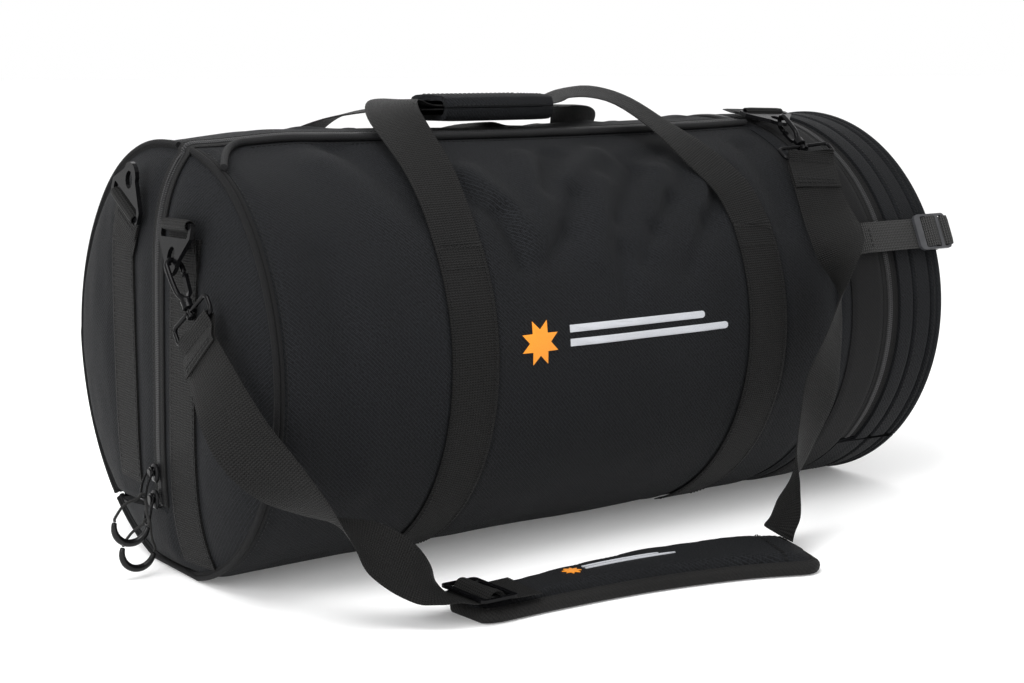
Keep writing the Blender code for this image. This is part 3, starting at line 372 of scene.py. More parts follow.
def web_data(frames, width, thick=0.0015, columns=8, cup=0.0, wave=0.0):
    """A web's skin: rounded edges, cupped by cup across its width, with a slow ripple of its edges."""
    loops = []
    across = [-1 + 2 * i / columns for i in range(columns + 1)]
    for k, (point, side, up) in enumerate(frames):
        ripple = wave * noise.noise(point * 22.0)
        row = []
        for s in across:
            lift = cup * (s * s - 0.4) + ripple * s
            row.append((point + side * s * width / 2 + up * lift, s))
        half = [thick / 2 * (1 - 0.55 * abs(s) ** 10) for s in across]
        loop = [p - up * h for (p, _), h in zip(row, half)]
        loop += [p + up * h for (p, _), h in zip(reversed(row), reversed(half))]
        loops.append(loop)
    return loft_data(loops)


def web(name, stations, width, look="webbing", body="case", nodes=(), per=5, **shape):
    return piece(name, *web_data(web_frames(stations, per), width, **shape), look, body, nodes)


def tube_data(stations, closed=False, sides=12):
    points = [Vector(p) for p, _ in stations]
    count = len(points)
    tangents = []
    for k in range(count):
        ahead, behind = k, k
        while (points[ahead] - points[behind]).length < 1e-5:
            ahead = (ahead + 1) % count if closed else min(ahead + 1, count - 1)
            behind = (behind - 1) % count if closed else max(behind - 1, 0)
        tangents.append((points[ahead] - points[behind]).normalized())
    first = tangents[0].orthogonal().normalized()
    frames = [first]
    for k in range(1, count):
        turned = tangents[k - 1].rotation_difference(tangents[k]) @ frames[-1]
        frames.append((turned - tangents[k] * turned.dot(tangents[k])).normalized())
    twist = 0.0
    if closed:
        back = tangents[-1].rotation_difference(tangents[0]) @ frames[-1]
        twist = math.atan2(back.cross(first).dot(tangents[0]), back.dot(first))
    loops = []
    for k, (_, radius) in enumerate(stations):
        side = Matrix.Rotation(twist * k / count, 3, tangents[k]) @ frames[k]
        other = tangents[k].cross(side)
        ring = [2 * math.pi * i / sides for i in range(sides)]
        loops.append([points[k] + (side * math.cos(a) + other * math.sin(a)) * radius for a in ring])
    return loft_data(loops, closed)


def tube(name, stations, look, body, nodes=(), closed=False, sides=12):
    return piece(name, *tube_data(stations, closed, sides), look, body, nodes)


def walked(points):
    """A route's length, and a function that gives the leg and the share of it at a distance."""
    lengths = np.concatenate([[0.0], np.cumsum([(b - a).length for a, b in zip(points, points[1:])])])

    def at(distance):
        k = int(np.clip(np.searchsorted(lengths, distance) - 1, 0, len(points) - 2))
        return k, (distance - lengths[k]) / max(lengths[k + 1] - lengths[k], 1e-9)

    return lengths[-1], at


def stitch_data(points, outs, length=0.0028, gap=0.0013, width=0.0008, height=0.00045):
    """A row of stitches along points, each a small raised stroke standing out along outs."""
    points, outs = [Vector(p) for p in points], [unit(o) for o in outs]
    total, at = walked(points)
    parts = []
    place = gap
    while place + length < total:
        (k, share), (last, rest) = at(place), at(place + length)
        a, b = points[k].lerp(points[k + 1], share), points[last].lerp(points[last + 1], rest)
        out = outs[k].lerp(outs[k + 1], share).normalized()
        along = (b - a).normalized()
        side = along.cross(out).normalized()
        loops = []
        for share, wide, high in ((0.0, 0.45, 0.1), (0.18, 1.0, 0.8), (0.5, 1.05, 1.0), (0.82, 1.0, 0.8),
                                  (1.0, 0.45, 0.1)):
            centre = a.lerp(b, share)
            w, h = side * width / 2 * wide, out * height * high
            loops.append([centre - w - out * height * 0.4, centre - w * 0.8 + h * 0.7,
                          centre + w * 0.8 + h * 0.7, centre + w - out * height * 0.4])
        parts.append(loft_data(loops))
        place += length + gap
    return joined(parts)


def stitches(name, rows, body, look="stitch", **size):
    """Stitch rows, each (points, outs), as one piece."""
    return piece(name, *joined([stitch_data(points, outs, **size) for points, outs in rows]), look, body)


def bevelled(made, width, segments=2, angle=35.0):
    """Rounds the sharp edges of a hard piece."""
    modifier = made.modifiers.new("edges", "BEVEL")
    modifier.width = width
    modifier.segments = segments
    modifier.limit_method = "ANGLE"
    modifier.angle_limit = math.radians(angle)
    modifier.harden_normals = False
    return made


def rim(angle, radius, floor=0.0):
    turn = math.radians(angle)
    return -radius * math.sin(turn), max(AXIS_Z - radius * math.cos(turn), floor)


def out_at(angle):
    turn = math.radians(angle)
    return Vector((0, -math.sin(turn), -math.cos(turn)))


def ease(value):
    value = min(max(value, 0.0), 1.0)
    return value * value * (3 - 2 * value)


# ---------------------------------------------------------------- shoulder strap
def ring_spot(angle, radius):
    return Vector((0, *rim(angle, radius)))


FRONT_RING = Vector((-0.3308, -0.0640, 0.2525))
FRONT_HEAD = unit((-0.20, -0.02, -0.98))
FRONT_ALONG = unit((0, 0.9998, -0.0204))
BACK_RING = Vector((-0.3308, 0.0185, 0.2598))
BACK_ALONG = unit((0, 0.875, 0.484))
BACK_UP = unit((0, -0.484, 0.875))
RIGHT_RING = Vector((0.2110, 0, 0)) + ring_spot(165, RADIUS + 0.0085)
RIGHT_AWAY = ring_spot(165, 1.0) - Vector((0, 0, AXIS_Z))
RIGHT_SLOPE = (ring_spot(154, RADIUS + 0.0115) - Vector((0, RIGHT_RING.y, RIGHT_RING.z))).normalized()
RIGHT_SKEW = math.radians(6)
RIGHT_ALONG = Vector((1, 0, 0)) * math.cos(RIGHT_SKEW) + RIGHT_SLOPE * math.sin(RIGHT_SKEW)
RIGHT_HEAD = RIGHT_SLOPE * math.cos(RIGHT_SKEW) - Vector((1, 0, 0)) * math.sin(RIGHT_SKEW)
LEFT_UP, LEFT_WIDE = unit((0, 0.609, 0.793)), unit((0.14, -0.79, 0.605))
RIGHT_UP, RIGHT_WIDE = unit((0.16, 0.84, 0.52)), unit((0.966, -0.241, 0.093))


BAR_BELOW, FOLD_RADIUS = 0.0130, 0.0026


def swivel_at(foot, along, head, up):
    """A hook's swivel, found from the ring that the hook pulls on."""
    normal = along.cross(head)
    pull = -(up - normal * up.dot(normal)).normalized()
    return foot + head * EYE_MIDDLE + pull * EYE_BAR - up * HOOK_REACH


LEFT_SWIVEL = swivel_at(FRONT_RING, FRONT_ALONG, FRONT_HEAD, LEFT_UP)
RIGHT_SWIVEL = swivel_at(RIGHT_RING, RIGHT_ALONG, RIGHT_HEAD, RIGHT_UP)
LEFT_STRAP = [
    ((-0.3378, -0.1024, 0.1836), (0.14, -0.79, 0.605)), ((-0.3400, -0.1130, 0.1725), (0.15, -0.78, 0.61)),
    ((-0.3415, -0.1300, 0.1590), (0.32, -0.72, 0.63)), ((-0.3410, -0.1480, 0.1410), (0.55, -0.60, 0.60)),
    ((-0.3345, -0.1640, 0.1200), (0.70, -0.50, 0.60)), ((-0.3180, -0.1770, 0.0980), (0.50, -0.80, 0.50)),
    ((-0.2960, -0.1850, 0.0780), (0.00, -0.95, 0.25)), ((-0.2780, -0.1920, 0.0650), (-0.50, -0.80, -0.10)),
    ((-0.2620, -0.1970, 0.0520), (-0.62, -0.50, -0.55)), ((-0.2460, -0.2010, 0.0390), (-0.50, -0.45, -0.70)),
    ((-0.2330, -0.2060, 0.0270), (-0.35, -0.65, -0.55)), ((-0.2240, -0.2100, 0.0200), (-0.15, -0.92, -0.25)),
    ((-0.2150, -0.2135, 0.0163), (0.00, -1.00, 0.00)), ((-0.2075, -0.2150, 0.0155), (0.02, -1.00, 0.00)),
    ((-0.2025, -0.2152, 0.0172), (0.02, -1.00, 0.00)), ((-0.1985, -0.2154, 0.0213), (0.02, -1.00, 0.00)),
    ((-0.1935, -0.2156, 0.0213), (0.02, -1.00, 0.00)), ((-0.1895, -0.2157, 0.0172), (0.02, -1.00, 0.00)),
    ((-0.1840, -0.2158, 0.0152), (0.02, -1.00, 0.00)), ((-0.1740, -0.2160, 0.0150), (0.02, -1.00, 0.00)),
    ((-0.1600, -0.2162, 0.0150), (0.02, -1.00, 0.00)),
]
RIGHT_STRAP = [
    ((0.1950, -0.1150, 0.2760), (0.97, -0.20, 0.10)), ((0.1890, -0.1300, 0.2620), (0.97, -0.22, 0.12)),
    ((0.1840, -0.1460, 0.2420), (0.90, -0.40, 0.18)), ((0.1740, -0.1700, 0.2200), (0.50, -0.84, 0.20)),
    ((0.1670, -0.1820, 0.1985), (-0.35, -0.92, 0.05)), ((0.1610, -0.1860, 0.1765), (-0.75, -0.65, 0.00)),
    ((0.1510, -0.1890, 0.1460), (-0.92, -0.38, -0.05)), ((0.1350, -0.1930, 0.1130), (-0.98, -0.15, -0.10)),
    ((0.1170, -0.1980, 0.0840), (-0.92, -0.38, -0.05)), ((0.0990, -0.2050, 0.0600), (-0.80, -0.60, 0.00)),
    ((0.0860, -0.2105, 0.0420), (-0.50, -0.86, 0.00)), ((0.0765, -0.2165, 0.0280), (-0.32, -0.95, 0.00)),
    ((0.0705, -0.2184, 0.0198), (-0.25, -0.97, 0.00)), ((0.0693, -0.2181, 0.0147), (-0.25, -0.97, 0.00)),
]


def strap(side, stations, swivel, up, wide, away):
    """A run of the shoulder strap from its loop's lower bar, with the sewn fold that holds it there."""
    bar = swivel - up * BAR_BELOW
    wide = wide if wide.dot(Vector(stations[1][1])) > 0 else -wide
    leave = (Vector(stations[1][0]) - bar).normalized()
    face = wide.cross(leave).normalized()
    face = face if face.dot(Vector(away)) > 0 else -face
    start = [(bar - face * 0.0024 + leave * 0.0005, wide), (bar - face * 0.0016 + leave * 0.0100, wide)]
    frames = web_frames([*start, *stations[1:]], 6)
    made = piece(f"strap_run_{side}", *web_data(frames, WEB, columns=10, cup=0.0006, wave=0.0010), "webbing",
                 "case", (f"shoulder_strap_{side}",))
    flip = 1 if frames[8][2].dot(face) > 0 else -1
    layer = [(p + u * flip * 0.0018, s) for p, s, u in reversed(frames[5:14:2])]
    for turn in range(80, -100, -20):
        t = math.radians(turn)
        layer.append((bar + (face * math.sin(t) - leave * math.cos(t)) * FOLD_RADIUS, wide))
    fold = web(f"strap_fold_{side}", layer, WEB - 0.0010, per=3, columns=6)
    rows = []
    for k in (12, 11, 5):
        p, s, u = frames[k]
        rows.append(([p + s * w * 0.0175 + u * flip * 0.0026 for w in (-1, -0.5, 0, 0.5, 1)], [u * flip] * 5))
    sewn = stitches(f"strap_stitches_{side}", rows, "case")
    return frames


strap("left", LEFT_STRAP, LEFT_SWIVEL, LEFT_UP, LEFT_WIDE, (-1, -1, 0.6))
strap("right", RIGHT_STRAP, RIGHT_SWIVEL, RIGHT_UP, RIGHT_WIDE, (0, -1, 0.6))


# ---------------------------------------------------------------- barrel cloth
TOP_SINK, LEFT_SLUMP = 0.0048, 0.0085
SLOW_WAVE, FINE_PUCKER = 0.0013, 0.0003


def settled(point):
    """A point of the soft barrel: its top has sunk between the ends and its upper left rim has slumped."""
    x, y, z = point
    radius = math.hypot(y, z - AXIS_Z)
    if radius < 0.03 or z < AXIS_Z:
        return x, y, z
    turn = math.degrees(math.atan2(-y, AXIS_Z - z)) % 360
    outer = min(radius / RADIUS, 1.0) ** 6
    top = max(0.0, 1 - (abs(turn - 172) / 45) ** 2)
    span = min(max((x + 0.300) / 0.490, 0.0), 1.0)
    sink = TOP_SINK * top * math.sin(math.pi * span) ** 0.8
    rim_share = ease((turn - 135) / 45) * ease((285 - turn) / 60)
    slump = LEFT_SLUMP * rim_share * ease((-0.225 - x) / 0.085)
    share = 1 - (sink + slump) * outer / radius
    return x, y * share, AXIS_Z + (z - AXIS_Z) * share


CREASE_SOFT, CREASE_DEEP, CREASE_MOST = 1.20, 1.70, 0.0066
# Each crease: where it starts and ends (x, angle), its half width and how far it lifts the cloth.
CREASES = (
    ((-0.142, 141.0), (-0.112, 129.0), 0.0085, -0.0055), ((-0.112, 129.0), (-0.107, 114.0), 0.0060, -0.0062),
    ((-0.031, 152.0), (-0.063, 136.0), 0.0070, -0.0052), ((-0.039, 133.5), (-0.060, 122.0), 0.0060, -0.0040),
    ((-0.060, 122.0), (-0.088, 114.0), 0.0065, -0.0034), ((0.045, 130.0), (0.020, 121.0), 0.0065, -0.0046),
    ((0.020, 121.0), (0.000, 112.0), 0.0060, -0.0036), ((0.032, 142.0), (-0.012, 124.5), 0.0060, -0.0044),
    ((-0.017, 115.0), (-0.024, 100.0), 0.0065, -0.0030), ((0.071, 122.5), (0.040, 108.5), 0.0065, -0.0036),
    ((0.114, 140.0), (0.074, 122.0), 0.0080, -0.0055), ((-0.120, 143.0), (-0.090, 118.0), 0.0095, 0.0040),
    ((-0.062, 149.0), (-0.080, 124.0), 0.0095, 0.0038), ((0.006, 149.0), (-0.036, 140.5), 0.0085, 0.0036),
    ((-0.012, 137.0), (-0.042, 114.0), 0.0080, 0.0034), ((0.052, 140.0), (0.012, 116.0), 0.0080, 0.0036),
    ((0.090, 138.0), (0.052, 115.0), 0.0085, 0.0034), ((0.066, 150.0), (0.030, 146.0), 0.0080, -0.0024),
    ((-0.205, 159.0), (-0.172, 130.0), 0.0120, -0.0036), ((-0.225, 150.0), (-0.198, 120.0), 0.0150, 0.0022),
    ((0.160, 150.0), (0.150, 120.0), 0.0100, -0.0034), ((-0.262, 118.0), (-0.255, 70.0), 0.0120, -0.0020),
    ((-0.235, 112.0), (-0.240, 60.0), 0.0120, 0.0014), ((0.000, 104.0), (-0.050, 92.0), 0.0140, 0.0012),
    ((0.075, 100.0), (0.060, 80.0), 0.0120, -0.0010),
)


def creased(x, turn):
    arc = math.radians(turn) * RADIUS
    lift = 0.0
    for (xa, ta), (xb, tb), wide, deep in CREASES:
        ya, yb = math.radians(ta) * RADIUS, math.radians(tb) * RADIUS
        wide, deep = wide * CREASE_SOFT, deep * CREASE_DEEP
        dx, dy = xb - xa, yb - ya
        share = min(max(((x - xa) * dx + (arc - ya) * dy) / (dx * dx + dy * dy), 0.0), 1.0)
        away = math.hypot(x - xa - dx * share, arc - ya - dy * share)
        if away < 3 * wide:
            lift += deep * math.exp(-((away / wide) ** 2)) * (1 - 0.45 * share)
    return CREASE_MOST * math.tanh(lift / CREASE_MOST)


def loose(x, turn, seed):
    """Slow waves and small puckers of cloth over foam."""
    arc = math.radians(turn) * RADIUS
    slow = ripple(x * 11, arc * 11, seed)
    fine = ripple(x * 42, arc * 42, seed + 5)
    return SLOW_WAVE * slow + FINE_PUCKER * fine


def tucked(distance, deep=0.0024, reach=0.013):
    """How far a seam pulls the cloth in at a distance from it."""
    return deep * (1 - ease(distance / reach))


def web_clear(x, turn):
    """0 under a handle's web and 1 clear of it, for a turn from the lowest line to either side."""
    if turn < HANDLE_FOOT - 4 or turn > HANDLE_TACK + 3:
        return 1.0
    return min(ease((abs(x - at) - 0.0185) / 0.009) for at in (HANDLE_LEFT, HANDLE_RIGHT))


def cover_radius(x, turn):
    """The visible radius of the barrel between the left piping and the collar, at an angle from 0 to 360."""
    side_turn = min(turn % 360, 360 - turn % 360)
    front = turn % 360 < 180
    lift = loose(x, turn, 3.0 if front else 11.0)
    lift += creased(x, turn) if front else -creased(x, 335 - turn % 360) * 0.5
    clear = web_clear(x, side_turn)
    lift = lift * clear - 0.0005 * (1 - clear) + 0.0007 * math.sin(math.pi * min(max(clear, 0), 1))
    lift -= tucked(min(x - LEFT - 0.0035, MAIN_END - x))
    seam = abs(turn % 360 - PARTING) * math.radians(1) * RADIUS
    top = ease((seam - 0.010) / 0.012)
    return RADIUS + min(lift, 0.0) * top + max(lift, 0.0) * top * ease((seam - 0.014) / 0.02)


def grid_shell(xs, turns, outer, inner, closed=False):
    """A closed shell between two skins over x and angle."""
    rows, count = len(turns), len(xs)
    arc = [math.radians(t) * RADIUS for t in turns]
    points = [skin(x, t) for skin in (outer, inner) for t in turns for x in xs]
    points = [settled(p) for p in points] if xs[-1] <= MAIN_END else points
    half = rows * count
    place = [(arc[r], xs[c]) for r in range(rows) for c in range(count)]
    place += place
    faces = []
    for r in range(rows - 1):
        for c in range(count - 1):
            a, b, d, e = r * count + c, r * count + c + 1, (r + 1) * count + c + 1, (r + 1) * count + c
            faces += [(a, b, d, e), (a + half, e + half, d + half, b + half)]
    for c in (0, count - 1):
        for r in range(rows - 1):
            a, b = r * count + c, (r + 1) * count + c
            faces.append((a, b, b + half, a + half))
    if not closed:
        for r in (0, rows - 1):
            for c in range(count - 1):
                a, b = r * count + c, r * count + c + 1
                faces.append((a, b, b + half, a + half))
    return points, faces, [place[i] for face in faces for i in face]


def spaced(start, end, step):
    count = max(1, round((end - start) / step))
    return [start + (end - start) * k / count for k in range(count + 1)]


def barrel_shell(name, xs, start, end, radius, thick, look, body, nodes, base=0.0, step=1.5):
    """A piece of the barrel's wall: radius gives its outside at (x, angle), base the lowest it reaches."""
    whole = end - start >= 360
    turns = spaced(start, end, step)

    def outer(x, turn):
        return x, *rim(turn, radius(x, turn), base)

    def inner(x, turn):
        return x, *rim(turn, radius(x, turn) - thick, base + thick)

    return piece(name, *grid_shell(xs, turns, outer, inner, whole), look, body, nodes, 60)


FOAM, COVER, QUILT = 0.010, 0.0008, 0.0016
FOAM_IN = RADIUS - COVER - GAP - FOAM
main_xs = spaced(LEFT + 0.0035, MAIN_END - GAP, 0.0035)
FRONT_SPAN = (HINGE_ANGLE, PARTING - 0.2)
BACK_SPAN = (PARTING + 0.2, 360 + HINGE_ANGLE - 0.4)
foam_xs = spaced(LEFT + 0.0100, MAIN_END - GAP, 0.0035)
barrel_shell("front_panel", main_xs, *FRONT_SPAN, cover_radius, COVER, "nylon", "case", ("front_cover",),
             step=1.2)
barrel_shell("back_panel", main_xs, *BACK_SPAN, cover_radius, COVER, "nylon", "lid", ("back_cover",),
             step=1.2)


def lined(x, turn):
    return min(cover_radius(x, turn), RADIUS) - COVER - 0.0016


def quilted(turn):
    """The padding's inside face, with sewn channels along the bag."""
    return QUILT * abs(math.sin(math.radians(turn) * 6)) ** 0.5


def lining(name, xs, span, body, nodes, outer=lined, base=COVER + GAP):
    turns = spaced(*span, 1.2)
    inner_base = base + FOAM
    made = grid_shell(xs, turns, lambda x, t: (x, *rim(t, outer(x, t), base)),
                      lambda x, t: (x, *rim(t, FOAM_IN + QUILT - quilted(t), inner_base - quilted(t))),
                      span[1] - span[0] >= 360)
    made = piece(name, *made, "lining", body, nodes, 60)
    return made


lining("front_padding", foam_xs, FRONT_SPAN, "case", ("front_foam",))
lining("back_padding", foam_xs, BACK_SPAN, "lid", ("back_foam",))


def collar_radius(x, turn):
    return RADIUS + loose(x, turn, 17.0) * 0.4 - tucked(min(x - MAIN_END, COLLAR_END - x), 0.0014, 0.006)


def band_radius(x, turn):
    pulled = tucked(min(x - COLLAR_END, BAND_END - x), 0.0012, 0.004)
    return RADIUS + 0.0006 + loose(x, turn, 23.0) * 0.3 - pulled


barrel_shell("collar", spaced(MAIN_END, COLLAR_END, 0.0016), 0, 360, collar_radius, COVER, "nylon", "case",
             ("collar_cover",))
barrel_shell("band", spaced(COLLAR_END + GAP, BAND_END, 0.0022), 0, 360, band_radius, 0.0016, "band", "case",
             ("band_ring",))
lining("collar_padding", spaced(MAIN_END, BAND_END, 0.008), (0, 360), "case", ("collar_foam",),
       lambda x, t: RADIUS - 0.0026, 0.002)


# ---------------------------------------------------------------- left end
def zip_y(z):
    lean = -0.010 * (z - ZIP_FOOT_Z) / 0.19
    bend = -0.0115 * (max(z - 0.24, 0.0) / 0.069) ** 1.6
    return ZIP_FOOT_Y + lean + bend


def left_x(y, z):
    share = min(math.hypot(y, z - AXIS_Z) / RIM, 1.0)
    return LEFT - 0.0005 - LEFT_DOME * (1 - share**5)


def right_x(y, z):
    share = min(math.hypot(y, z - AXIS_Z) / RIM, 1.0)
    return RIGHT + 0.0005 + RIGHT_DOME * (1 - share**4)


def zip_point(share, aside):
    top = AXIS_Z - RIM * math.cos(math.radians(PARTING))
    z = ZIP_FOOT_Z + (top - ZIP_FOOT_Z) * share
    return zip_y(z) + aside, z


STRIPS = (("front", -0.0610, -0.0450, 0.0145, 0.243, "case"), ("back", 0.038, 0.038, 0.062, 0.243, "lid"))


def strip_middle(strip, z):
    """Where the middle of a web on the left end lies at a height."""
    _, head, foot, low, high, _ = strip
    return foot + (head - foot) * min(max((z - low) / (high - low), 0), 1)


def end_skin(y, z):
    """The visible left end: drawn in along the webs sewn on it, fuller between them, and a little rumpled."""
    clear = 1.0
    for strip in STRIPS:
        if strip[3] - 0.01 < z < strip[4] + 0.01:
            clear = min(clear, ease((abs(y - strip_middle(strip, z)) - 0.0170) / 0.014))
    clear = min(clear, ease((abs(y - zip_y(z)) - 0.0085) / 0.012) if z > ZIP_FOOT_Z else 1.0)
    edge = RIM - math.hypot(y, z - AXIS_Z)
    clear = clear * ease(edge / 0.02)
    wave = 0.0014 * ripple(y * 26, z * 10, 31) + 0.0006 * ripple(y * 60, z * 45, 41)
    return left_x(y, z) - clear * (0.0016 + wave)


def end_panel(name, rows, near, far, look, body, nodes, columns=26, crowd=1.3):
    """A flat end between two skins over y and z; crowd above 1 draws its columns towards each row's end."""
    loops = []
    for (y0, z0), (y1, z1) in rows:
        across = [1 - (1 - k / columns) ** crowd for k in range(columns + 1)]
        line = [(y0 + (y1 - y0) * s, z0 + (z1 - z0) * s) for s in across]
        loop = [(near(y, z), y, z) for y, z in line] + [(far(y, z), y, z) for y, z in reversed(line)]
        loops.append([settled(p) for p in loop])
    vertices, faces, _ = loft_data(loops)
    uvs = [(vertices[i][1], vertices[i][2]) for face in faces for i in face]
    return piece(name, vertices, faces, uvs, look, body, nodes, 60)


def front_rows():
    rows = []
    for angle in spaced(HINGE_ANGLE + 3, PARTING - 0.4, 1.8):
        if angle <= 0:
            share = angle / HINGE_ANGLE
            start = (ZIP_FOOT_Y + (HINGE_Y - ZIP_FOOT_Y) * share,
                     ZIP_FOOT_Z + (HINGE_Z - ZIP_FOOT_Z) * share - GAP)
        else:
            start = zip_point(angle / (PARTING - 0.4), -GAP)
        rows.append((start, rim(angle, RIM, 0.0068)))
    return rows


def back_rows():
    low, high = -HINGE_ANGLE + 3, 360 - PARTING - 0.4
    rows = []
    for angle in spaced(low, high, 1.8):
        start = zip_point((angle - low) / (high - low), GAP)
        rows.append(((start[0], start[1] + GAP), rim(-angle, RIM, 0.0068)))
    return rows


for side, rows, body in (("front", front_rows(), "case"), ("back", back_rows(), "lid")):
    end_panel(f"left_panel_{side}", rows, end_skin, lambda y, z: left_x(y, z) + 0.0012, "nylon", body,
              (f"left_end_{side}",))
    padding = end_panel(f"left_padding_{side}", rows, lambda y, z: left_x(y, z) + 0.0015,
                        lambda y, z: LEFT + 0.0095 + 0.0010 * math.cos(y * 90) * math.cos(z * 90), "lining",
                        body, (f"left_foam_{side}",))

for side, (start, end), body in (("front", (HINGE_ANGLE + 1, PARTING - 4.0), "case"),
                                 ("back", (PARTING + 4.0, 359 + HINGE_ANGLE), "lid")):
    turns = spaced(start, end, 2)
    route = [(settled((LEFT - 0.0012, *rim(a, RADIUS - 0.0014, 0.0024))), 0.0020) for a in turns]
    welt = [(settled((LEFT + 0.0024, *rim(a, RADIUS - 0.0022, 0.0014))), 0.0021) for a in turns]
    seam = [(settled((LEFT + 0.0002, *rim(a, RADIUS - 0.0040, 0.0024))), 0.0022) for a in turns]
    piece(f"left_piping_cord_{side}", *joined([tube_data(route), tube_data(welt, sides=8),
                                               tube_data(seam, sides=8)]), "piping", body,
          (f"left_piping_{side}",))
    turns = spaced(start + 2, end - 2, 1)
    line = [settled((LEFT + 0.0070, *rim(a, cover_radius(LEFT + 0.0070, a)))) for a in turns]
    stitches(f"left_end_stitches_{side}", [(line, [out_at(a) for a in turns])], body)


def on_strip(y, z, high=0.0014):
    """A point a little above the left end, where a web is sewn on it."""
    return left_x(y, z) - GAP * 2 - high, y, z


for strip in STRIPS:
    side, _, _, low, high, body = strip
    stations = []
    for z in spaced(low, high, 0.012):
        middle = strip_middle(strip, z)
        stations.append((on_strip(middle, z, 0.0008), (0, 1, 0)))
    frames = web_frames(stations, 2)
    loops = []
    for point, _, _ in frames:
        line = [point.y + WEB * 0.92 * (k / 10 - 0.5) for k in range(11)]
        near = [on_strip(y, point.z, -0.0002) for y in line]
        loops.append(near + [on_strip(y, point.z) for y in reversed(line)])
    loft(f"end_web_{side}", loops, "webbing", body, (f"end_webbing_{side}",))
    rows = []
    for aside in (-0.0160, 0.0160):
        line = [on_strip(strip_middle(strip, z) + aside, z) for z in spaced(low + 0.003, high - 0.003, 0.005)]
        rows.append(straight(line, (-1, 0, 0)))
    for z in (high - 0.006, high - 0.012, low + 0.004):
        middle = strip_middle(strip, z)
        line = [on_strip(middle + a, z) for a in spaced(-0.016, 0.016, 0.004)]
        rows.append(straight(line, (-1, 0, 0)))
    stitches(f"end_web_stitches_{side}", rows, body)


def ring_tab(name, foot, along, tail, away, drop, body, node):
    """A web folded round a ring's foot bar and sewn down below it."""
    along, tail, away = unit(along), unit(tail), unit(away)
    route = [tail * 0.030 - away * (ROLL + drop), tail * 0.018 - away * (ROLL + drop * 0.7),
             tail * 0.008 - away * ROLL]
    for k in range(21):
        turn = math.radians(8 + 15.5 * k)
        route.append(-away * ROLL * math.cos(turn) - tail * ROLL * math.sin(turn))
    over = [tail * 0.009 - away * (ROLL - 0.0012), tail * 0.018 - away * (ROLL + drop * 0.7 - 0.0014)]
    stations = [(Vector(foot) + p, along) for p in [*route, *over]]
    web(name, stations, WEB - 0.003, body=body, nodes=(node,), per=2, thick=0.0013)
    rows = []
    for reach, lift in ((0.0160, 0.0018), (0.0120, 0.0020)):
        base = Vector(foot) + tail * reach - away * (ROLL + drop * 0.6 - lift)
        line = [base + along * w for w in spaced(-0.015, 0.015, 0.005)]
        rows.append(straight(line, away))
    stitches(f"{name}_stitches", rows, body)


ring_tab("ring_web_front", FRONT_RING, FRONT_ALONG, (0, -0.02, -0.9998), (-1, 0, 0), 0, "case",
         "ring_tab_front")
ring_tab("ring_web_back", BACK_RING, BACK_ALONG, -BACK_UP, (-1, 0, 0), 0, "lid", "ring_tab_back")
ring_tab("ring_web_right", RIGHT_RING, RIGHT_ALONG, -RIGHT_HEAD, RIGHT_AWAY, 0.0027, "case", "ring_tab_right")


# ---------------------------------------------------------------- zippers
TAPE = 0.0011
ZIP_THREAD = {"length": 0.0022, "gap": 0.0010, "width": 0.0006}


def coil_data(points, outs, sides, start=0.0, pitch=0.0016, reach=0.0023, high=0.0011):
    """One row of a coil zipper's teeth: small arched loops that reach aside from the parting line."""
    points, outs, sides = [Vector(p) for p in points], [Vector(o) for o in outs], [Vector(s) for s in sides]
    total, at_distance = walked(points)
    parts = []
    place = start + pitch / 2
    while place < total - pitch / 2:
        k, share = at_distance(place)
        at, out = points[k].lerp(points[k + 1], share), outs[k].lerp(outs[k + 1], share).normalized()
        along = (points[k + 1] - points[k]).normalized()
        side = sides[k].lerp(sides[k + 1], share).normalized()
        loops = []
        for reached, size, rise in ((-0.0005, 0.5, 0.45), (0.0002, 1.0, 0.75), (0.0011, 0.9, 1.0),
                                    (reach, 0.75, 0.45)):
            half = along * pitch * 0.36 * size
            base = at + side * reached
            loops.append([base - half, base - half * 0.9 + out * high * rise,
                          base + half * 0.9 + out * high * rise, base + half])
        parts.append(loft_data(loops))
        place += pitch
    return joined(parts)


def zipper(name, points, outs, sides, body, nodes, start=0.0, width=0.0095, tape=TAPE):
    """Half a zipper along a parting line, its woven tape and teeth; sides points away from the parting."""
    points = [Vector(p) for p in points]
    loops = []
    for p, out, side in zip(points, outs, sides):
        out, side = unit(out), unit(side)
        line = [0.0004, 0.0014, 0.0024, 0.0040, width * 0.7, width]
        rise = [0.0, 0.0, 0.0, 0.0002, 0.0001, 0.0]
        loops.append([p + side * s for s in line]
                     + [p + side * s + out * (tape + r) for s, r in zip(reversed(line), reversed(rise))])
    loft(f"{name}_tape", loops, "tape", body, nodes)

    def lifted(high, aside):
        return [p + unit(o) * high + unit(s) * aside for p, o, s in zip(points, outs, sides)]

    piece(f"{name}_teeth", *coil_data(lifted(tape, 0.0003), outs, sides, start), "coil", body)
    sewn = lifted(tape + 0.0001, width * 0.82)
    stitches(f"{name}_stitches", [(sewn, outs)], body, **ZIP_THREAD)


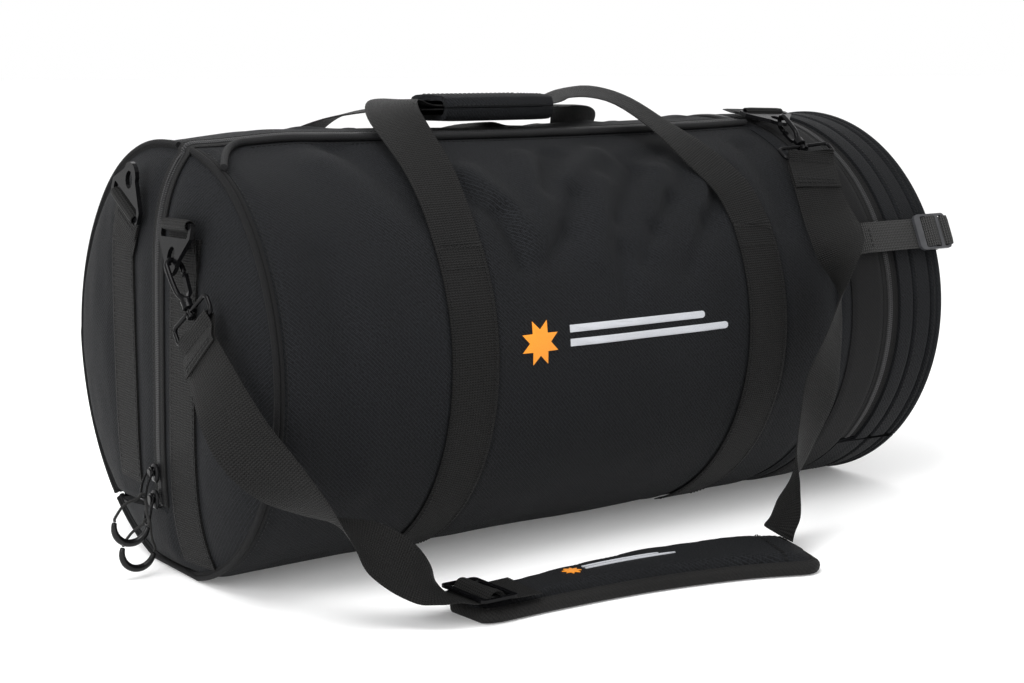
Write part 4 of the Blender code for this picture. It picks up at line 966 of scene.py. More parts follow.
for side, sign, body in (("front", -1, "case"), ("back", 1, "lid")):
    turn = PARTING + sign * 0.1
    across = (ring_spot(turn + sign, RADIUS) - ring_spot(turn, RADIUS)).normalized()
    heights = spaced(ZIP_FOOT_Z + 0.002, 0.2980, 0.006)
    points = [(left_x(zip_y(z) + sign * 0.005, z) - GAP * 2, zip_y(z), z) for z in heights]
    outs, sides = [Vector((-1, 0, 0))] * len(points), [Vector((0, sign, 0))] * len(points)
    top_y, top_z = rim(turn, RADIUS + GAP)
    for x, drop, lean in ((-0.3100, 0.0072, 0.15), (-0.3096, 0.0040, 0.4), (-0.3078, 0.0014, 0.7),
                          (-0.3050, 0.0002, 0.92)):
        points.append((x, top_y, top_z - drop))
        outs.append(Vector((-1, 0, 0)).lerp(out_at(turn), lean))
        sides.append(Vector((0, sign, 0)).lerp(across, lean))
    xs = spaced(LEFT + 0.0060, MAIN_END - 0.002, 0.01)
    points += [(x, top_y, top_z) for x in xs]
    outs, sides = outs + [out_at(turn)] * len(xs), sides + [across] * len(xs)
    zipper(f"main_zip_{side}", [settled(p) for p in points], outs, sides, body,
           (f"zipper_top_{side}", f"zipper_end_{side}"), 0.0008 * (sign > 0), 0.0085)

for side, sign, body in (("case", 1, "case"), ("lid", -1, "lid")):
    turns = spaced(PARTING + 3, 360 + HINGE_ANGLE - 4, 2.0)
    x = MAIN_END - GAP / 2
    zipper(f"zip_seam_{side}", [(x, *rim(t, RADIUS - 0.0010)) for t in turns], [out_at(t) for t in turns],
           [(sign, 0, 0)] * len(turns), body, (), 0.0008 * (sign > 0), 0.0075)

route = []
for k in range(90):
    x = LEFT + 0.0020 + (MAIN_END - 0.002 - LEFT - 0.0020) * k / 89
    turn = FLAP_ANGLE - 12.5 * max(0.0, (-0.272 - x) / 0.031) ** 1.8
    route.append((settled((x, *rim(turn, RADIUS + 0.0027 + 0.0006 * ripple(x * 30, 0, 2)))), 0.0025))
piece("storm_flap_piping", *tube_data(route, sides=14), "flap", "case", ("storm_flap_cord",))
line = [settled((x, *rim(FLAP_ANGLE - 2, RADIUS + 0.0003))) for x in spaced(-0.27, MAIN_END - 0.006, 0.006)]
stitches("storm_flap_stitches", [straight(line, out_at(FLAP_ANGLE - 2))], "case")


# ---------------------------------------------------------------- handles
def mirrored(side, angle, radius):
    """The barrel's (y, z) at an angle, in front for side 1 and behind for side -1."""
    y, z = rim(angle, radius)
    return side * y, z


def handle_stations(side):
    """A handle, up its panel, over to the grip, through it and down again; side is 1 in front, -1 behind."""
    front = side > 0
    turns = range(21, 120, 7)
    turns = [HANDLE_FOOT if front else HANDLE_BACK_FOOT, *[a for a in turns if a > (19 if front else 48)],
             HANDLE_TACK]
    spots = [mirrored(side, a, RADIUS + 0.0012) for a in turns]
    left = [((HANDLE_LEFT, y, z), (side, 0, 0)) for y, z in spots]
    right = [((HANDLE_RIGHT, y, z), (-side, 0, 0)) for y, z in spots]
    if front:
        rise = [((-0.160, -0.1225, 0.2620), (1, 0, 0)), ((-0.160, -0.1010, 0.2870), (0.98, -0.15, 0)),
                ((-0.160, -0.0760, 0.3070), (0.93, -0.36, 0)), ((-0.156, -0.0520, 0.3210), (0.76, -0.65, 0)),
                ((-0.144, -0.0300, 0.3290), (0.42, -0.90, 0)), ((-0.126, -0.0140, 0.3300), (0.12, -0.99, 0)),
                ((-0.108, -0.0085, 0.3268), (0, -1, 0))]
        fall = [((0.012, -0.0095, 0.3280), (0, -1, 0)), ((0.026, -0.0150, 0.3335), (-0.22, -0.97, -0.10)),
                ((0.040, -0.0290, 0.3345), (-0.48, -0.85, -0.22)),
                ((0.055, -0.0500, 0.3275), (-0.78, -0.60, -0.15)),
                ((0.073, -0.0750, 0.3085), (-0.93, -0.33, 0)), ((0.092, -0.0990, 0.2855), (-1, -0.05, 0)),
                ((0.107, -0.1200, 0.2625), (-1, 0, 0))]
    else:
        rise = [((-0.160, 0.1210, 0.2620), (-1, 0, 0)), ((-0.160, 0.1000, 0.2860), (-0.98, -0.15, 0)),
                ((-0.158, 0.0780, 0.3030), (-0.95, -0.30, 0)), ((-0.153, 0.0560, 0.3130), (-0.80, -0.60, 0)),
                ((-0.143, 0.0360, 0.3190), (-0.55, -0.83, 0)), ((-0.128, 0.0150, 0.3225), (-0.25, -0.97, 0)),
                ((-0.112, -0.0040, 0.3230), (0, -1, 0))]
        fall = [((0.016, -0.0040, 0.3230), (0, -1, 0)), ((0.038, 0.0110, 0.3235), (0.30, -0.95, 0)),
                ((0.064, 0.0320, 0.3210), (0.60, -0.80, 0)), ((0.086, 0.0540, 0.3145), (0.85, -0.50, 0)),
                ((0.102, 0.0770, 0.3040), (0.96, -0.25, 0)), ((0.111, 0.1000, 0.2860), (1, 0, 0)),
                ((0.112, 0.1210, 0.2620), (1, 0, 0))]
    level = FRONT_WEB_Z if front else BACK_WEB_Z
    held = [((x, GRIP_WEB_Y, level), (0, -1, 0)) for x in (GRIP_X[0] + 0.002, -0.044, GRIP_X[1] - 0.002)]
    return [*left, *rise, *held, *fall, *reversed(right)]


for side, sign, body in (("front", 1, "case"), ("back", -1, "lid")):
    web(f"handle_web_{side}", handle_stations(sign), WEB - 0.002, body=body, nodes=(f"{side}_handle",), per=4,
        cup=0.0002)
    rows = []
    for at in (HANDLE_LEFT, HANDLE_RIGHT):
        foot = HANDLE_FOOT if sign > 0 else HANDLE_BACK_FOOT
        turns = spaced(foot + 1, HANDLE_TACK - 1, 2)
        for aside in (-0.0165, 0.0165):
            line = [(at + aside, *mirrored(sign, a, RADIUS + 0.0021)) for a in turns]
            rows.append((line, [(0, sign * out_at(a).y, out_at(a).z) for a in turns]))
        for a in (HANDLE_TACK - 0.6, HANDLE_TACK - 1.5, HANDLE_TACK - 7):
            spot = mirrored(sign, a, RADIUS + 0.0021)
            line = [(at + w, *spot) for w in spaced(-0.0165, 0.0165, 0.004)]
            rows.append(straight(line, (0, sign * out_at(a).y, out_at(a).z)))
    stitches(f"handle_stitches_{side}", rows, body)


def sleeve(name, outline, body, node, swell=0.0012):
    """A padded sleeve over an outline in Y and Z, with rounded corners and pinched, rumpled ends."""
    corners = [Vector((0, y, z)) for y, z in outline]
    dense = []
    for k, here in enumerate(corners):
        before, after = corners[k - 1], corners[(k + 1) % len(corners)]
        near = min(0.0013, (here - before).length * 0.4)
        far = min(0.0013, (after - here).length * 0.4)
        a, b = here + (before - here).normalized() * near, here + (after - here).normalized() * far
        dense += [a, a.lerp(here, 0.55).lerp(here.lerp(b, 0.45), 0.5), b,
                  b.lerp(after + (here - after).normalized() * 0.0013, 0.5)]
    middle = Vector((0, sum(GRIP_Y) / 2, sum(GRIP_Z) / 2))
    loops = []
    for x in spaced(*GRIP_X, 0.003):
        edge = min(x - GRIP_X[0], GRIP_X[1] - x)
        fuller = swell * ease(edge / 0.02) * (1 + 0.6 * ripple(x * 45, 0, 3))
        fuller -= 0.0006 * (1 - ease(edge / 0.005))

        def grown(p):
            return p + (p - middle).normalized() * fuller if (p - middle).length > 0.0105 else p

        loops.append([Vector((x, 0, 0)) + grown(p) for p in dense])
    made = loft(name, loops, "nylon", body, (node,), smooth=60)
    return made


(gy0, gy1), (gz0, gz1) = GRIP_Y, GRIP_Z
GRIP_LOWER = [(gy1 - 0.0055, gz0), (gy0 + 0.006, gz0), (gy0 + 0.0015, gz0 + 0.003), (gy0, gz0 + 0.007),
              (gy0, gz0 + 0.0085), (gy0, GRIP_SPLIT - GAP), (gy0 + GRIP_WALL, GRIP_SPLIT - GAP),
              (gy0 + GRIP_WALL, gz0 + 0.008), (gy0 + GRIP_WALL + 0.0025, gz0 + GRIP_WALL),
              (gy1 - 0.0055, gz0 + GRIP_WALL)]
GRIP_UPPER = [(gy0, GRIP_SPLIT), (gy0, gz1 - 0.007), (gy0 + 0.002, gz1 - 0.002), (gy0 + 0.008, gz1),
              (gy1 - 0.008, gz1), (gy1 - 0.002, gz1 - 0.002), (gy1, gz1 - 0.007), (gy1, gz0 + 0.001),
              (gy1 - GRIP_WALL, gz0 + 0.001), (gy1 - GRIP_WALL, gz1 - 0.008),
              (gy1 - GRIP_WALL - 0.0025, gz1 - GRIP_WALL), (gy0 + GRIP_WALL + 0.0025, gz1 - GRIP_WALL),
              (gy0 + GRIP_WALL, gz1 - 0.008), (gy0 + GRIP_WALL, GRIP_SPLIT)]
sleeve("grip_lower", GRIP_LOWER, "lid", "grip_body", 0.0004)
sleeve("grip_upper", GRIP_UPPER, "flap", "grip_flap", 0.0008)
long_row = spaced(GRIP_X[0] + 0.004, GRIP_X[1] - 0.004, 0.004)
rows = [straight([(x, gy0 - 0.0008, GRIP_SPLIT + 0.0020) for x in long_row], (0, -1, 0)),
        straight([(x, gy0 + 0.0100, gz1 + 0.0003) for x in long_row], (0, 0, 1)),
        straight([(x, gy1 - 0.0100, gz1 + 0.0003) for x in long_row], (0, 0, 1))]
for x in (GRIP_X[0] + 0.005, GRIP_X[1] - 0.005):
    line = [(x, y, gz1 + 0.0001) for y in spaced(gy0 + 0.009, gy1 - 0.009, 0.004)]
    rows.append(straight(line, (0, 0, 1)))
stitches("grip_stitches", rows, "flap")


# ---------------------------------------------------------------- end pocket
def ring_piece(name, profile, start, end, look, body, nodes, step=1.5, swell=None):
    """A piece turned round the barrel's axis from (x, radius) points; swell adds radius at (x, angle)."""
    outer = max(radius for _, radius in profile)
    loops = []
    for a in spaced(start, end, step):
        loops.append([(x, *rim(a, r + (swell(x, a) if swell and r > RADIUS - 0.002 else 0.0), outer - r))
                      for x, r in profile])
    return loft(name, loops, look, body, nodes, smooth=50)


low, high = RADIUS - 0.0032, RADIUS - 0.0024
CAP_SPAN = (SILL_ANGLE + 1, 359 - SILL_ANGLE)
cap_turns = spaced(*CAP_SPAN, 1.5)
tape = [(BAND_END + GAP, low), (BAND_END + GAP, high), (TEETH_X - GAP * 2, high), (TEETH_X - GAP * 2, low)]
for side, sign, body, node in (("body", -1, "case", "end_zip_body"), ("cap", 1, "end_cap", "end_zip_cap")):
    section = tape if sign < 0 else [(2 * TEETH_X - x, r) for x, r in tape]
    ring_piece(f"end_zip_tape_{side}", section, *CAP_SPAN, "tape", body, (node,))
    line = [(TEETH_X + sign * 0.0003, *rim(a, high)) for a in cap_turns]
    piece(f"end_zip_teeth_{side}", *coil_data(line, [out_at(a) for a in cap_turns],
                                              [(sign, 0, 0)] * len(line), 0.0008 * (sign > 0)),
          "coil", body)
    line = [(TEETH_X + sign * 0.0068, *rim(a, high + 0.0001)) for a in cap_turns]
    stitches(f"end_zip_stitches_{side}", [(line, [out_at(a) for a in cap_turns])], body, **ZIP_THREAD)

wall = RADIUS - 0.011
EDGE = [(RIGHT - 0.0050, RADIUS), (RIGHT - 0.0047, RADIUS + 0.0008), (RIGHT - 0.0036, RADIUS + 0.0013),
        (RIGHT - 0.0022, RADIUS + 0.0015), (RIGHT - 0.0008, RADIUS + 0.0012),
        (RIGHT + 0.0006, RADIUS + 0.0002), (RIGHT + 0.0015, RADIUS - 0.0012),
        (RIGHT + 0.0015, RADIUS - 0.0034), (RIGHT - 0.0010, RADIUS - 0.0044),
        (RIGHT - 0.0034, RADIUS - 0.0044), (RIGHT - 0.0034, wall)]
SEAMS, SEAM_DEEP, SEAM_WIDE = (0.277, 0.297), 0.0032, 0.0016


def cap_swell(x, turn):
    """The cap's cloth: seams round it, and fuller between them."""
    lift = loose(x, turn, 29.0) * 0.5 + 0.0003
    for seam in SEAMS:
        lift -= SEAM_DEEP * math.exp(-((x - seam) / SEAM_WIDE) ** 2)
    return lift * ease((x - CAP_START + 0.001) / 0.004) if x < RIGHT - 0.006 else 0.0


def cap_profile(first):
    skin = sorted([*spaced(first, RIGHT - 0.0065, 0.0024),
                   *[s + d for s in SEAMS for d in (-0.0018, -0.0010, -0.0005, 0, 0.0005, 0.0010, 0.0018)]])
    return [(first, wall), *[(x, RADIUS) for x in skin if x >= first], *EDGE]


ring_piece("pocket_sill", cap_profile(BAND_END + GAP), -SILL_ANGLE + 0.4, SILL_ANGLE - 0.4, "nylon", "case",
           ("end_sill",), swell=cap_swell)
ring_piece("pocket_cap", cap_profile(CAP_START), SILL_ANGLE + 0.4, 359.6 - SILL_ANGLE, "nylon", "end_cap",
           ("cap_cover",), swell=cap_swell)


def right_skin(y, z):
    edge = RIM - math.hypot(y, z - AXIS_Z)
    wave = 0.0010 * ripple(y * 16, z * 16, 51) + 0.0004 * ripple(y * 50, z * 50, 61)
    return right_x(y, z) + (wave + 0.0012) * ease(edge / 0.03)


sill_rows, cap_rows = [], []
for z in spaced(0.0068, SILL_Z - 0.0006, 0.004):
    reach = math.sqrt(RIM**2 - (AXIS_Z - z) ** 2)
    sill_rows.append(((-reach, z), (reach, z)))
lowest = math.degrees(math.acos((AXIS_Z - SILL_Z - 0.0007) / RIM))
for angle in spaced(lowest, 176, 2):
    y, z = rim(angle, RIM)
    cap_rows.append(((y, z), (-y, z)))


for name, rows, body in (("sill", sill_rows, "case"), ("cap", cap_rows, "end_cap")):
    end_panel(f"{name}_panel", rows, lambda y, z: RIGHT - 0.003, right_skin, "nylon", body, (f"{name}_face",),
              40, 1)
for name, span, body in (("sill", (-SILL_ANGLE + 2, SILL_ANGLE - 2), "case"),
                         ("cap", (SILL_ANGLE + 2, 358 - SILL_ANGLE), "end_cap")):
    turns = spaced(*span, 1)
    rows = []
    for seam in SEAMS:
        line = [(seam + 0.0030, *rim(a, RADIUS + cap_swell(seam + 0.003, a))) for a in turns]
        rows.append((line, [out_at(a) for a in turns]))
    line = [(right_skin(*rim(a, RIM - 0.004, 0.011)), *rim(a, RIM - 0.004, 0.011)) for a in turns]
    rows.append(straight(line, (1, 0, 0)))
    stitches(f"{name}_stitches", rows, body)

disc = [rim(a, FOAM_IN - 0.0014, 0.0130) for a in spaced(0, 360, 3)[:-1]]
rings = []
for x, scale in ((0.2302, 0.0), (0.2302, 0.35), (0.2300, 0.7), (0.2303, 0.93), (0.2312, 0.985), (0.2335, 1.0),
                 (0.2358, 0.985), (0.2367, 0.93), (0.2370, 0.7), (0.2368, 0.35), (0.2368, 0.0)):
    scale = max(scale, 0.002)
    rings.append([(x, y * scale, AXIS_Z + (z - AXIS_Z) * scale) for y, z in disc])
partition = loft("partition", rings, "lining", "case", ("partition_pad",), smooth=70)

STRAP_WIDTH = 0.025
STRAP_OUT = out_at(STRAP_ANGLE)
STRAP_UP = Vector((0, STRAP_OUT.z, -STRAP_OUT.y))


def strap_place(x, radius):
    return Vector((x, 0, AXIS_Z)) + STRAP_OUT * radius


HEIGHTS = [(0.2075, 0.0018), (0.2140, 0.0020), (0.2240, 0.0052), (0.2450, 0.0062), (0.2700, 0.0062),
           (0.2800, 0.0062), (0.2880, 0.0062), (0.2930, 0.0098), (0.2965, 0.0122), (0.3000, 0.0122),
           (0.3035, 0.0105)]
LOOP = [(0.3107, 0.0052), (0.3107, 0.0088), (0.3122, 0.0113), (0.3150, 0.0122), (0.3182, 0.0108),
        (0.3192, 0.0060), (0.3160, -0.0080), (0.3132, -0.0190), (0.3127, -0.0330)]
web("pocket_strap", [(strap_place(x, RADIUS + h), STRAP_UP) for x, h in HEIGHTS], STRAP_WIDTH, "webbing_grey",
    "case", ("compression_strap",), per=3, columns=6)
web("buckle_web", [(strap_place(x, RADIUS + h), STRAP_UP) for x, h in LOOP], STRAP_WIDTH - 0.001,
    "webbing_grey", "end_cap",
    ("buckle_loop",), per=3, columns=6)
web("pocket_strap_fold", [(strap_place(x, RADIUS + h + 0.0017), STRAP_UP)
                          for x, h in [(0.2082, 0.0018), *HEIGHTS[1:3], (0.2300, 0.0057)]],
    STRAP_WIDTH - 0.0004, "webbing_grey", "case", per=3, columns=6)
rows = []
for x, h in ((0.2100, 0.0046), (0.2125, 0.0047), (0.2275, 0.0082)):
    line = [strap_place(x, RADIUS + h) + STRAP_UP * w for w in spaced(-0.010, 0.010, 0.004)]
    rows.append(straight(line, STRAP_OUT))
stitches("pocket_strap_stitches", rows, "case")


# ---------------------------------------------------------------- hardware
HOOK_WIRE, HOOK_BEND, LOOP_WIRE, LOOP_CORNER = 0.0018, 0.0058, 0.0015, 0.0035
BAIL_WIRE, CORD_RADIUS, CORD_TURN = 0.0009, 0.0010, 0.0027


def hook(side, swivel, up, wide, body):
    """A snap hook drawn as one bent wire (up, off its face, radius), and the strap loop below its swivel."""
    face = up.cross(wide).normalized()
    stations = [(-0.0050, 0, HOOK_WIRE), (-0.0048, 0, 0.0028), (-0.0042, 0, 0.0031), (-0.0028, 0, 0.0031),
                (-0.0024, 0, 0.0026), (-0.0024, 0, 0.0014), (0.0024, 0, 0.0014), (0.0024, 0, 0.0034),
                (0.0028, 0, 0.0039), (0.0050, 0, 0.0037), (0.0086, 0, 0.0039), (0.0091, 0, 0.0034),
                (0.0095, -0.0010, 0.0024)]
    bend = smooth_route([(0.0100, -0.0014, 0.0021), (0.0140, -0.0045, HOOK_WIRE), (0.0220, -0.0056, HOOK_WIRE),
                         (0.0300, -HOOK_BEND, HOOK_WIRE)], 4)
    stations += [tuple(p) for p in bend]
    for k in range(1, 16):
        turn = math.pi * (1 - k / 16)
        stations.append((HOOK_REACH + HOOK_BEND * math.sin(turn), HOOK_BEND * math.cos(turn), HOOK_WIRE))
    stations += [(0.0320, HOOK_BEND, HOOK_WIRE), (0.0300, 0.0056, 0.0016), (0.0295, 0.0056, 0.0010)]
    made = [(swivel + up * u + face * n, r) for u, n, r in stations]
    tube(f"snap_hook_{side}", made, "metal", body, (f"hook_{side}",), sides=14)
    half, deep, bow = 0.0225, BAR_BELOW, 0.0034
    local = [(-bow * math.cos(t), 0, bow * math.sin(t)) for t in [math.pi * k / 10 for k in range(11)]]
    local = [(-0.0100, 0, 0), (-bow - 0.0010, 0, 0), *local, (bow + 0.0010, 0, 0), (0.010, 0, 0)]
    for cx, cy, first in ((half - LOOP_CORNER, -LOOP_CORNER, 90), (half - LOOP_CORNER, -deep + LOOP_CORNER, 0),
                          (-half + LOOP_CORNER, -deep + LOOP_CORNER, -90),
                          (-half + LOOP_CORNER, -LOOP_CORNER, -180)):
        turns = [math.radians(first - 90 * k / 5) for k in range(6)]
        local += [(cx + LOOP_CORNER * math.cos(t), cy + LOOP_CORNER * math.sin(t), 0) for t in turns]
    made = [(swivel + wide * w + up * u + face * n, LOOP_WIRE) for w, u, n in local]
    tube(f"wire_loop_{side}", made, "metal", "case", (f"strap_loop_{side}",), True, 12)


hook("left", LEFT_SWIVEL, LEFT_UP, LEFT_WIDE, "left_hook")
hook("right", RIGHT_SWIVEL, RIGHT_UP, RIGHT_WIDE, "right_hook")


def zip_slider(name, x, y, z, body, node):
    """A coil zipper's slider: a waisted plate with a raised back and a bridge for the puller."""
    outline = [(-0.0062, 0.0026), (-0.0058, 0.0031), (-0.0030, 0.0044), (0.0020, 0.0048), (0.0050, 0.0046),
               (0.0063, 0.0030), (0.0066, 0.0010)]
    outline += [(a, -b) for a, b in reversed(outline)]
    loops = []
    for off, scale in ((0.0, 0.94), (0.0003, 1.0), (0.0016, 1.0), (0.0021, 0.94), (0.0026, 0.80),
                       (0.0027, 0.34), (0.0033, 0.28), (0.0046, 0.28), (0.0051, 0.50), (0.0056, 0.55),
                       (0.0060, 0.48)):
        loops.append([(x - off, y + b * scale, z + a * scale) for a, b in outline])
    loft(name, loops, "slider", body, (node,), smooth=30)


SLIDER_X = -0.3284
for side, z0, aside, lean, grip in (("upper", 0.076, 0.0030, 0.0114,
                                     ((-0.3520, 0.0440), 0.0125, 165, 345, -0.0215)),
                                    ("lower", 0.057, 0.0015, 0.0084,
                                     ((-0.3400, 0.0195), 0.0120, 160, 345, -0.0040))):
    x, y = SLIDER_X, zip_y(z0)
    mover = f"{side}_puller"
    zip_slider(f"zip_slider_{side}", x, y, z0, f"{side}_slider", f"slider_{side}")
    low_z = z0 - 0.016
    bail = [(0.0039, 0, z0 + 0.0043), (0.0039, 0.0036, z0 + 0.0026), (lean * 0.74, 0.0042, z0 - 0.005),
            (lean * 0.93, 0.0036, low_z + 0.0015), (lean, 0, low_z), (lean * 0.93, -0.0036, low_z + 0.0015),
            (lean * 0.74, -0.0042, z0 - 0.005), (0.0039, -0.0036, z0 + 0.0026)]
    bail = [(x - out, y + wide, height) for out, wide, height in bail]
    closed = smooth_route([bail[-1], *bail, bail[0]], 4)[4:-5]
    tube(f"pull_bail_{side}", [(p, BAIL_WIRE) for p in closed], "metal", mover, (f"puller_{side}",), True, 10)
    (cx, cz), radius, start, end, grip_y = grip
    arc = [math.radians(start + (end - start) * k / 30) for k in range(31)]
    curve = [Vector((cx + radius * math.cos(t), grip_y, cz + radius * math.sin(t))) for t in arc]
    tapered = [(p, 0.0026 - 0.0009 * abs(k - 15) ** 3 / 15**3) for k, p in enumerate(curve)]
    tapered = [(curve[0] + (curve[0] - curve[1]).normalized() * 0.0004, 0.0010), *tapered,
               (curve[-1] + (curve[-1] - curve[-2]).normalized() * 0.0004, 0.0010)]
    tube(f"pull_handle_{side}", tapered, "grip", mover, (f"pull_grip_{side}",), sides=14)
    out, home = (curve[0] - curve[1]).normalized() * 0.0010, (curve[-1] - curve[-2]).normalized() * 0.0010
    turn = [Vector((x - lean - CORD_TURN * math.cos(t), y, low_z + CORD_TURN * math.sin(t)))
            for t in [math.pi * k / 4 for k in range(5)]]
    run = [curve[0] + out, curve[0] + out * 4, curve[0].lerp(turn[0], 0.6) + Vector((-aside, 0, aside)),
           *turn, curve[-1].lerp(turn[-1], 0.5), curve[-1] + home * 4, curve[-1] + home]
    tube(f"pull_string_{side}", [(p, CORD_RADIUS) for p in smooth_route(run, 6)], "cord", mover,
         (f"pull_cord_{side}",), sides=10)

KEPT = {"ring_front_left": "metal", "ring_back_left": "metal", "ring_right": "metal", "gate_left": "metal",
        "gate_right": "metal", "triglide": "metal", "ladder_lock": "plastic", "end_slider": "slider",
        "end_pull_tab": "slider"}
for node, look in KEPT.items():
    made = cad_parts[node]
    made.data.materials.clear()
    made.data.materials.append(MATERIALS[look])
    made.data.shade_smooth()
    made.data.set_sharp_from_angle(angle=math.radians(35))
    bevelled(made, {"end_slider": 0.0002, "end_pull_tab": 0.0002, "ladder_lock": 0.0006,
                    "triglide": 0.0006}.get(node, 0.0009), 3)


# ---------------------------------------------------------------- shoulder pad
PAD_ROUTE = [
    (-0.2060, -0.2135, 0.0215), (-0.1400, -0.2090, 0.0260), (-0.0620, -0.2085, 0.0325),
    (0.0140, -0.2200, 0.0375), (0.0730, -0.2410, 0.0400),
]
PAD_THICK, PAD_EDGE, PAD_END = 0.0128, 0.006, 0.018
PAD_LINE = smooth_route(PAD_ROUTE, 8)
PAD_LONG = sum((b - a).length for a, b in zip(PAD_LINE, PAD_LINE[1:]))


def pad_section(share):
    """The pad's middle, its half width and its sideways direction at a share of its length."""
    place = share * (len(PAD_LINE) - 1)
    k = min(int(place), len(PAD_LINE) - 2)
    x, y, half = PAD_LINE[k].lerp(PAD_LINE[k + 1], place - k)
    before, after = PAD_LINE[max(k - 1, 0)], PAD_LINE[min(k + 2, len(PAD_LINE) - 1)]
    along = Vector((after - before)[:2]).normalized()
    edge = min(share, 1 - share) * PAD_LONG
    if edge < PAD_END:
        half -= (PAD_END - math.sqrt(PAD_END**2 - (PAD_END - edge) ** 2)) * half / 0.040
    return Vector((x, y)), half, Vector((-along.y, along.x))


def inflated(name, vertices, faces, voxel, pressure, most):
    """A cloth skin blown up by a short simulation, as vertices and faces; most limits a point's move."""
    body = bpy.data.objects.new(name, clean_mesh(name, vertices, faces))
    scene = bpy.context.scene
    scene.collection.objects.link(body)
    remesh = body.modifiers.new("skin", "REMESH")
    remesh.mode = "VOXEL"
    remesh.voxel_size = voxel
    graph = bpy.context.evaluated_depsgraph_get()
    skin = bpy.data.meshes.new_from_object(body.evaluated_get(graph))
    body.modifiers.clear()
    body.data = skin
    count = len(skin.vertices)
    rest = np.empty(count * 3, np.float32)
    skin.vertices.foreach_get("co", rest)
    rest = rest.reshape(-1, 3)
    moved = rest.copy()
    cloth_mod = body.modifiers.new("cloth", "CLOTH")
    settings = cloth_mod.settings
    settings.quality = 6
    settings.use_pressure = True
    settings.uniform_pressure_force = pressure
    settings.tension_stiffness = settings.compression_stiffness = 15
    settings.effector_weights.gravity = 0
    for step in range(1, 21):
        scene.frame_set(step)
    graph = bpy.context.evaluated_depsgraph_get()
    blown = body.evaluated_get(graph).to_mesh()
    blown.vertices.foreach_get("co", moved.reshape(-1))
    body.evaluated_get(graph).to_mesh_clear()
    body.modifiers.clear()
    scene.frame_set(1)
    move = moved - rest
    reach = np.linalg.norm(move, axis=1, keepdims=True)
    moved = rest + move * np.minimum(1, most / np.maximum(reach, 1e-9))
    polygons = [tuple(p.vertices) for p in skin.polygons]
    bpy.data.objects.remove(body)
    return moved, polygons


loops = []
for share in [0.004, 0.012, 0.02, 0.03, 0.045, *spaced(0.07, 0.93, 0.03), 0.955, 0.97, 0.98, 0.988, 0.996]:
    middle, half, aside = pad_section(share)
    section = [(-1, 0.0030), (-0.96, 0.0012), (-0.8, 0.0008), (0.8, 0.0008), (0.96, 0.0012), (1, 0.0028),
               (1, 0.0050), (0.94, 0.0076), (0.76, 0.0098), (0, 0.0112), (-0.76, 0.0098), (-0.94, 0.0076),
               (-1, 0.0050)]
    loops.append([(*(middle + aside * (half - 0.0012) * s), z) for s, z in section])
count = len(loops[0])
vertices = [p for loop in loops for p in loop]
faces = [(k * count + i, k * count + (i + 1) % count, (k + 1) * count + (i + 1) % count, (k + 1) * count + i)
         for k in range(len(loops) - 1) for i in range(count)]
faces += [tuple(range(count)), tuple(range((len(loops) - 1) * count, len(loops) * count))]
puffed, polygons = inflated("pad_blank", vertices, faces, voxel=0.0035, pressure=4.0, most=0.0045)


PAD_STEPS = 80
PAD_SPOTS = [(k / PAD_STEPS, *pad_section(k / PAD_STEPS)) for k in range(PAD_STEPS + 1)]


def pad_share(x, y):
    """How far along the pad and across it, from -1 to 1, a point is."""
    spot = Vector((x, y))
    share, middle, _, aside = min(PAD_SPOTS, key=lambda row: (row[1] - spot).length)
    share += (spot - middle).dot(Vector((aside.y, -aside.x))) / PAD_LONG
    share = min(max(share, 0.001), 0.999)
    middle, half, aside = pad_section(share)
    return share, (spot - middle).dot(aside) / max(half, 0.004)


PAD_SEAMS, CHANNEL = (0.10, 0.895), 0.80


def pad_finish(point):
    """The sewn channels and the floor, pressed into the inflated pad."""
    x, y, z = (float(c) for c in point)
    share, across = pad_share(x, y)
    if z > PAD_EDGE:
        for seam in PAD_SEAMS:
            z -= 0.0020 * math.exp(-(((share - seam) * PAD_LONG) / 0.0022) ** 2)
        away = (abs(across) - CHANNEL) * PAD_SPOTS[round(share * PAD_STEPS)][2]
        z -= 0.0016 * math.exp(-((away / 0.0016) ** 2))
        z += 0.0005 * ripple(x * 40, y * 40, 2)
    return x, y, min(max(z, 0.0006), PAD_THICK + 0.0012)


finished = [pad_finish(p) for p in puffed]
pad = piece("pad_cushion", finished, polygons,
            [(finished[i][1], finished[i][0]) for face in polygons for i in face], "nylon", "case",
            ("shoulder_pad",), 180)
smoother = pad.modifiers.new("smooth", "SUBSURF")
smoother.levels = smoother.render_levels = 1


PAD_TOPS = np.array([p for p in finished if p[2] > PAD_EDGE])


def pad_top(spot):
    """The cushion's height at a point of the floor plan."""
    away = np.hypot(PAD_TOPS[:, 0] - spot.x, PAD_TOPS[:, 1] - spot.y)
    return float(PAD_TOPS[np.argsort(away)[:4], 2].max())


def pad_point(share, across):
    middle, half, aside = pad_section(share)
    spot = middle + aside * half * across
    return Vector((*spot, pad_top(spot) + 0.0003))


def pad_outline(inset=0.0):
    """Points round the pad, inset from its edge."""
    ends = inset / PAD_LONG
    shares = [0.004, 0.008, 0.014, 0.022, 0.034, 0.05, *spaced(0.08, 0.92, 0.02), 0.95, 0.966, 0.978, 0.986,
              0.992, 0.996]
    shares = [ends + share * (1 - 2 * ends) for share in shares]
    line = []
    for sign, row in ((1, shares), (-1, list(reversed(shares)))):
        for share in row:
            middle, half, aside = pad_section(share)
            line.append(middle + aside * sign * max(half - inset, 0.002))
    return line


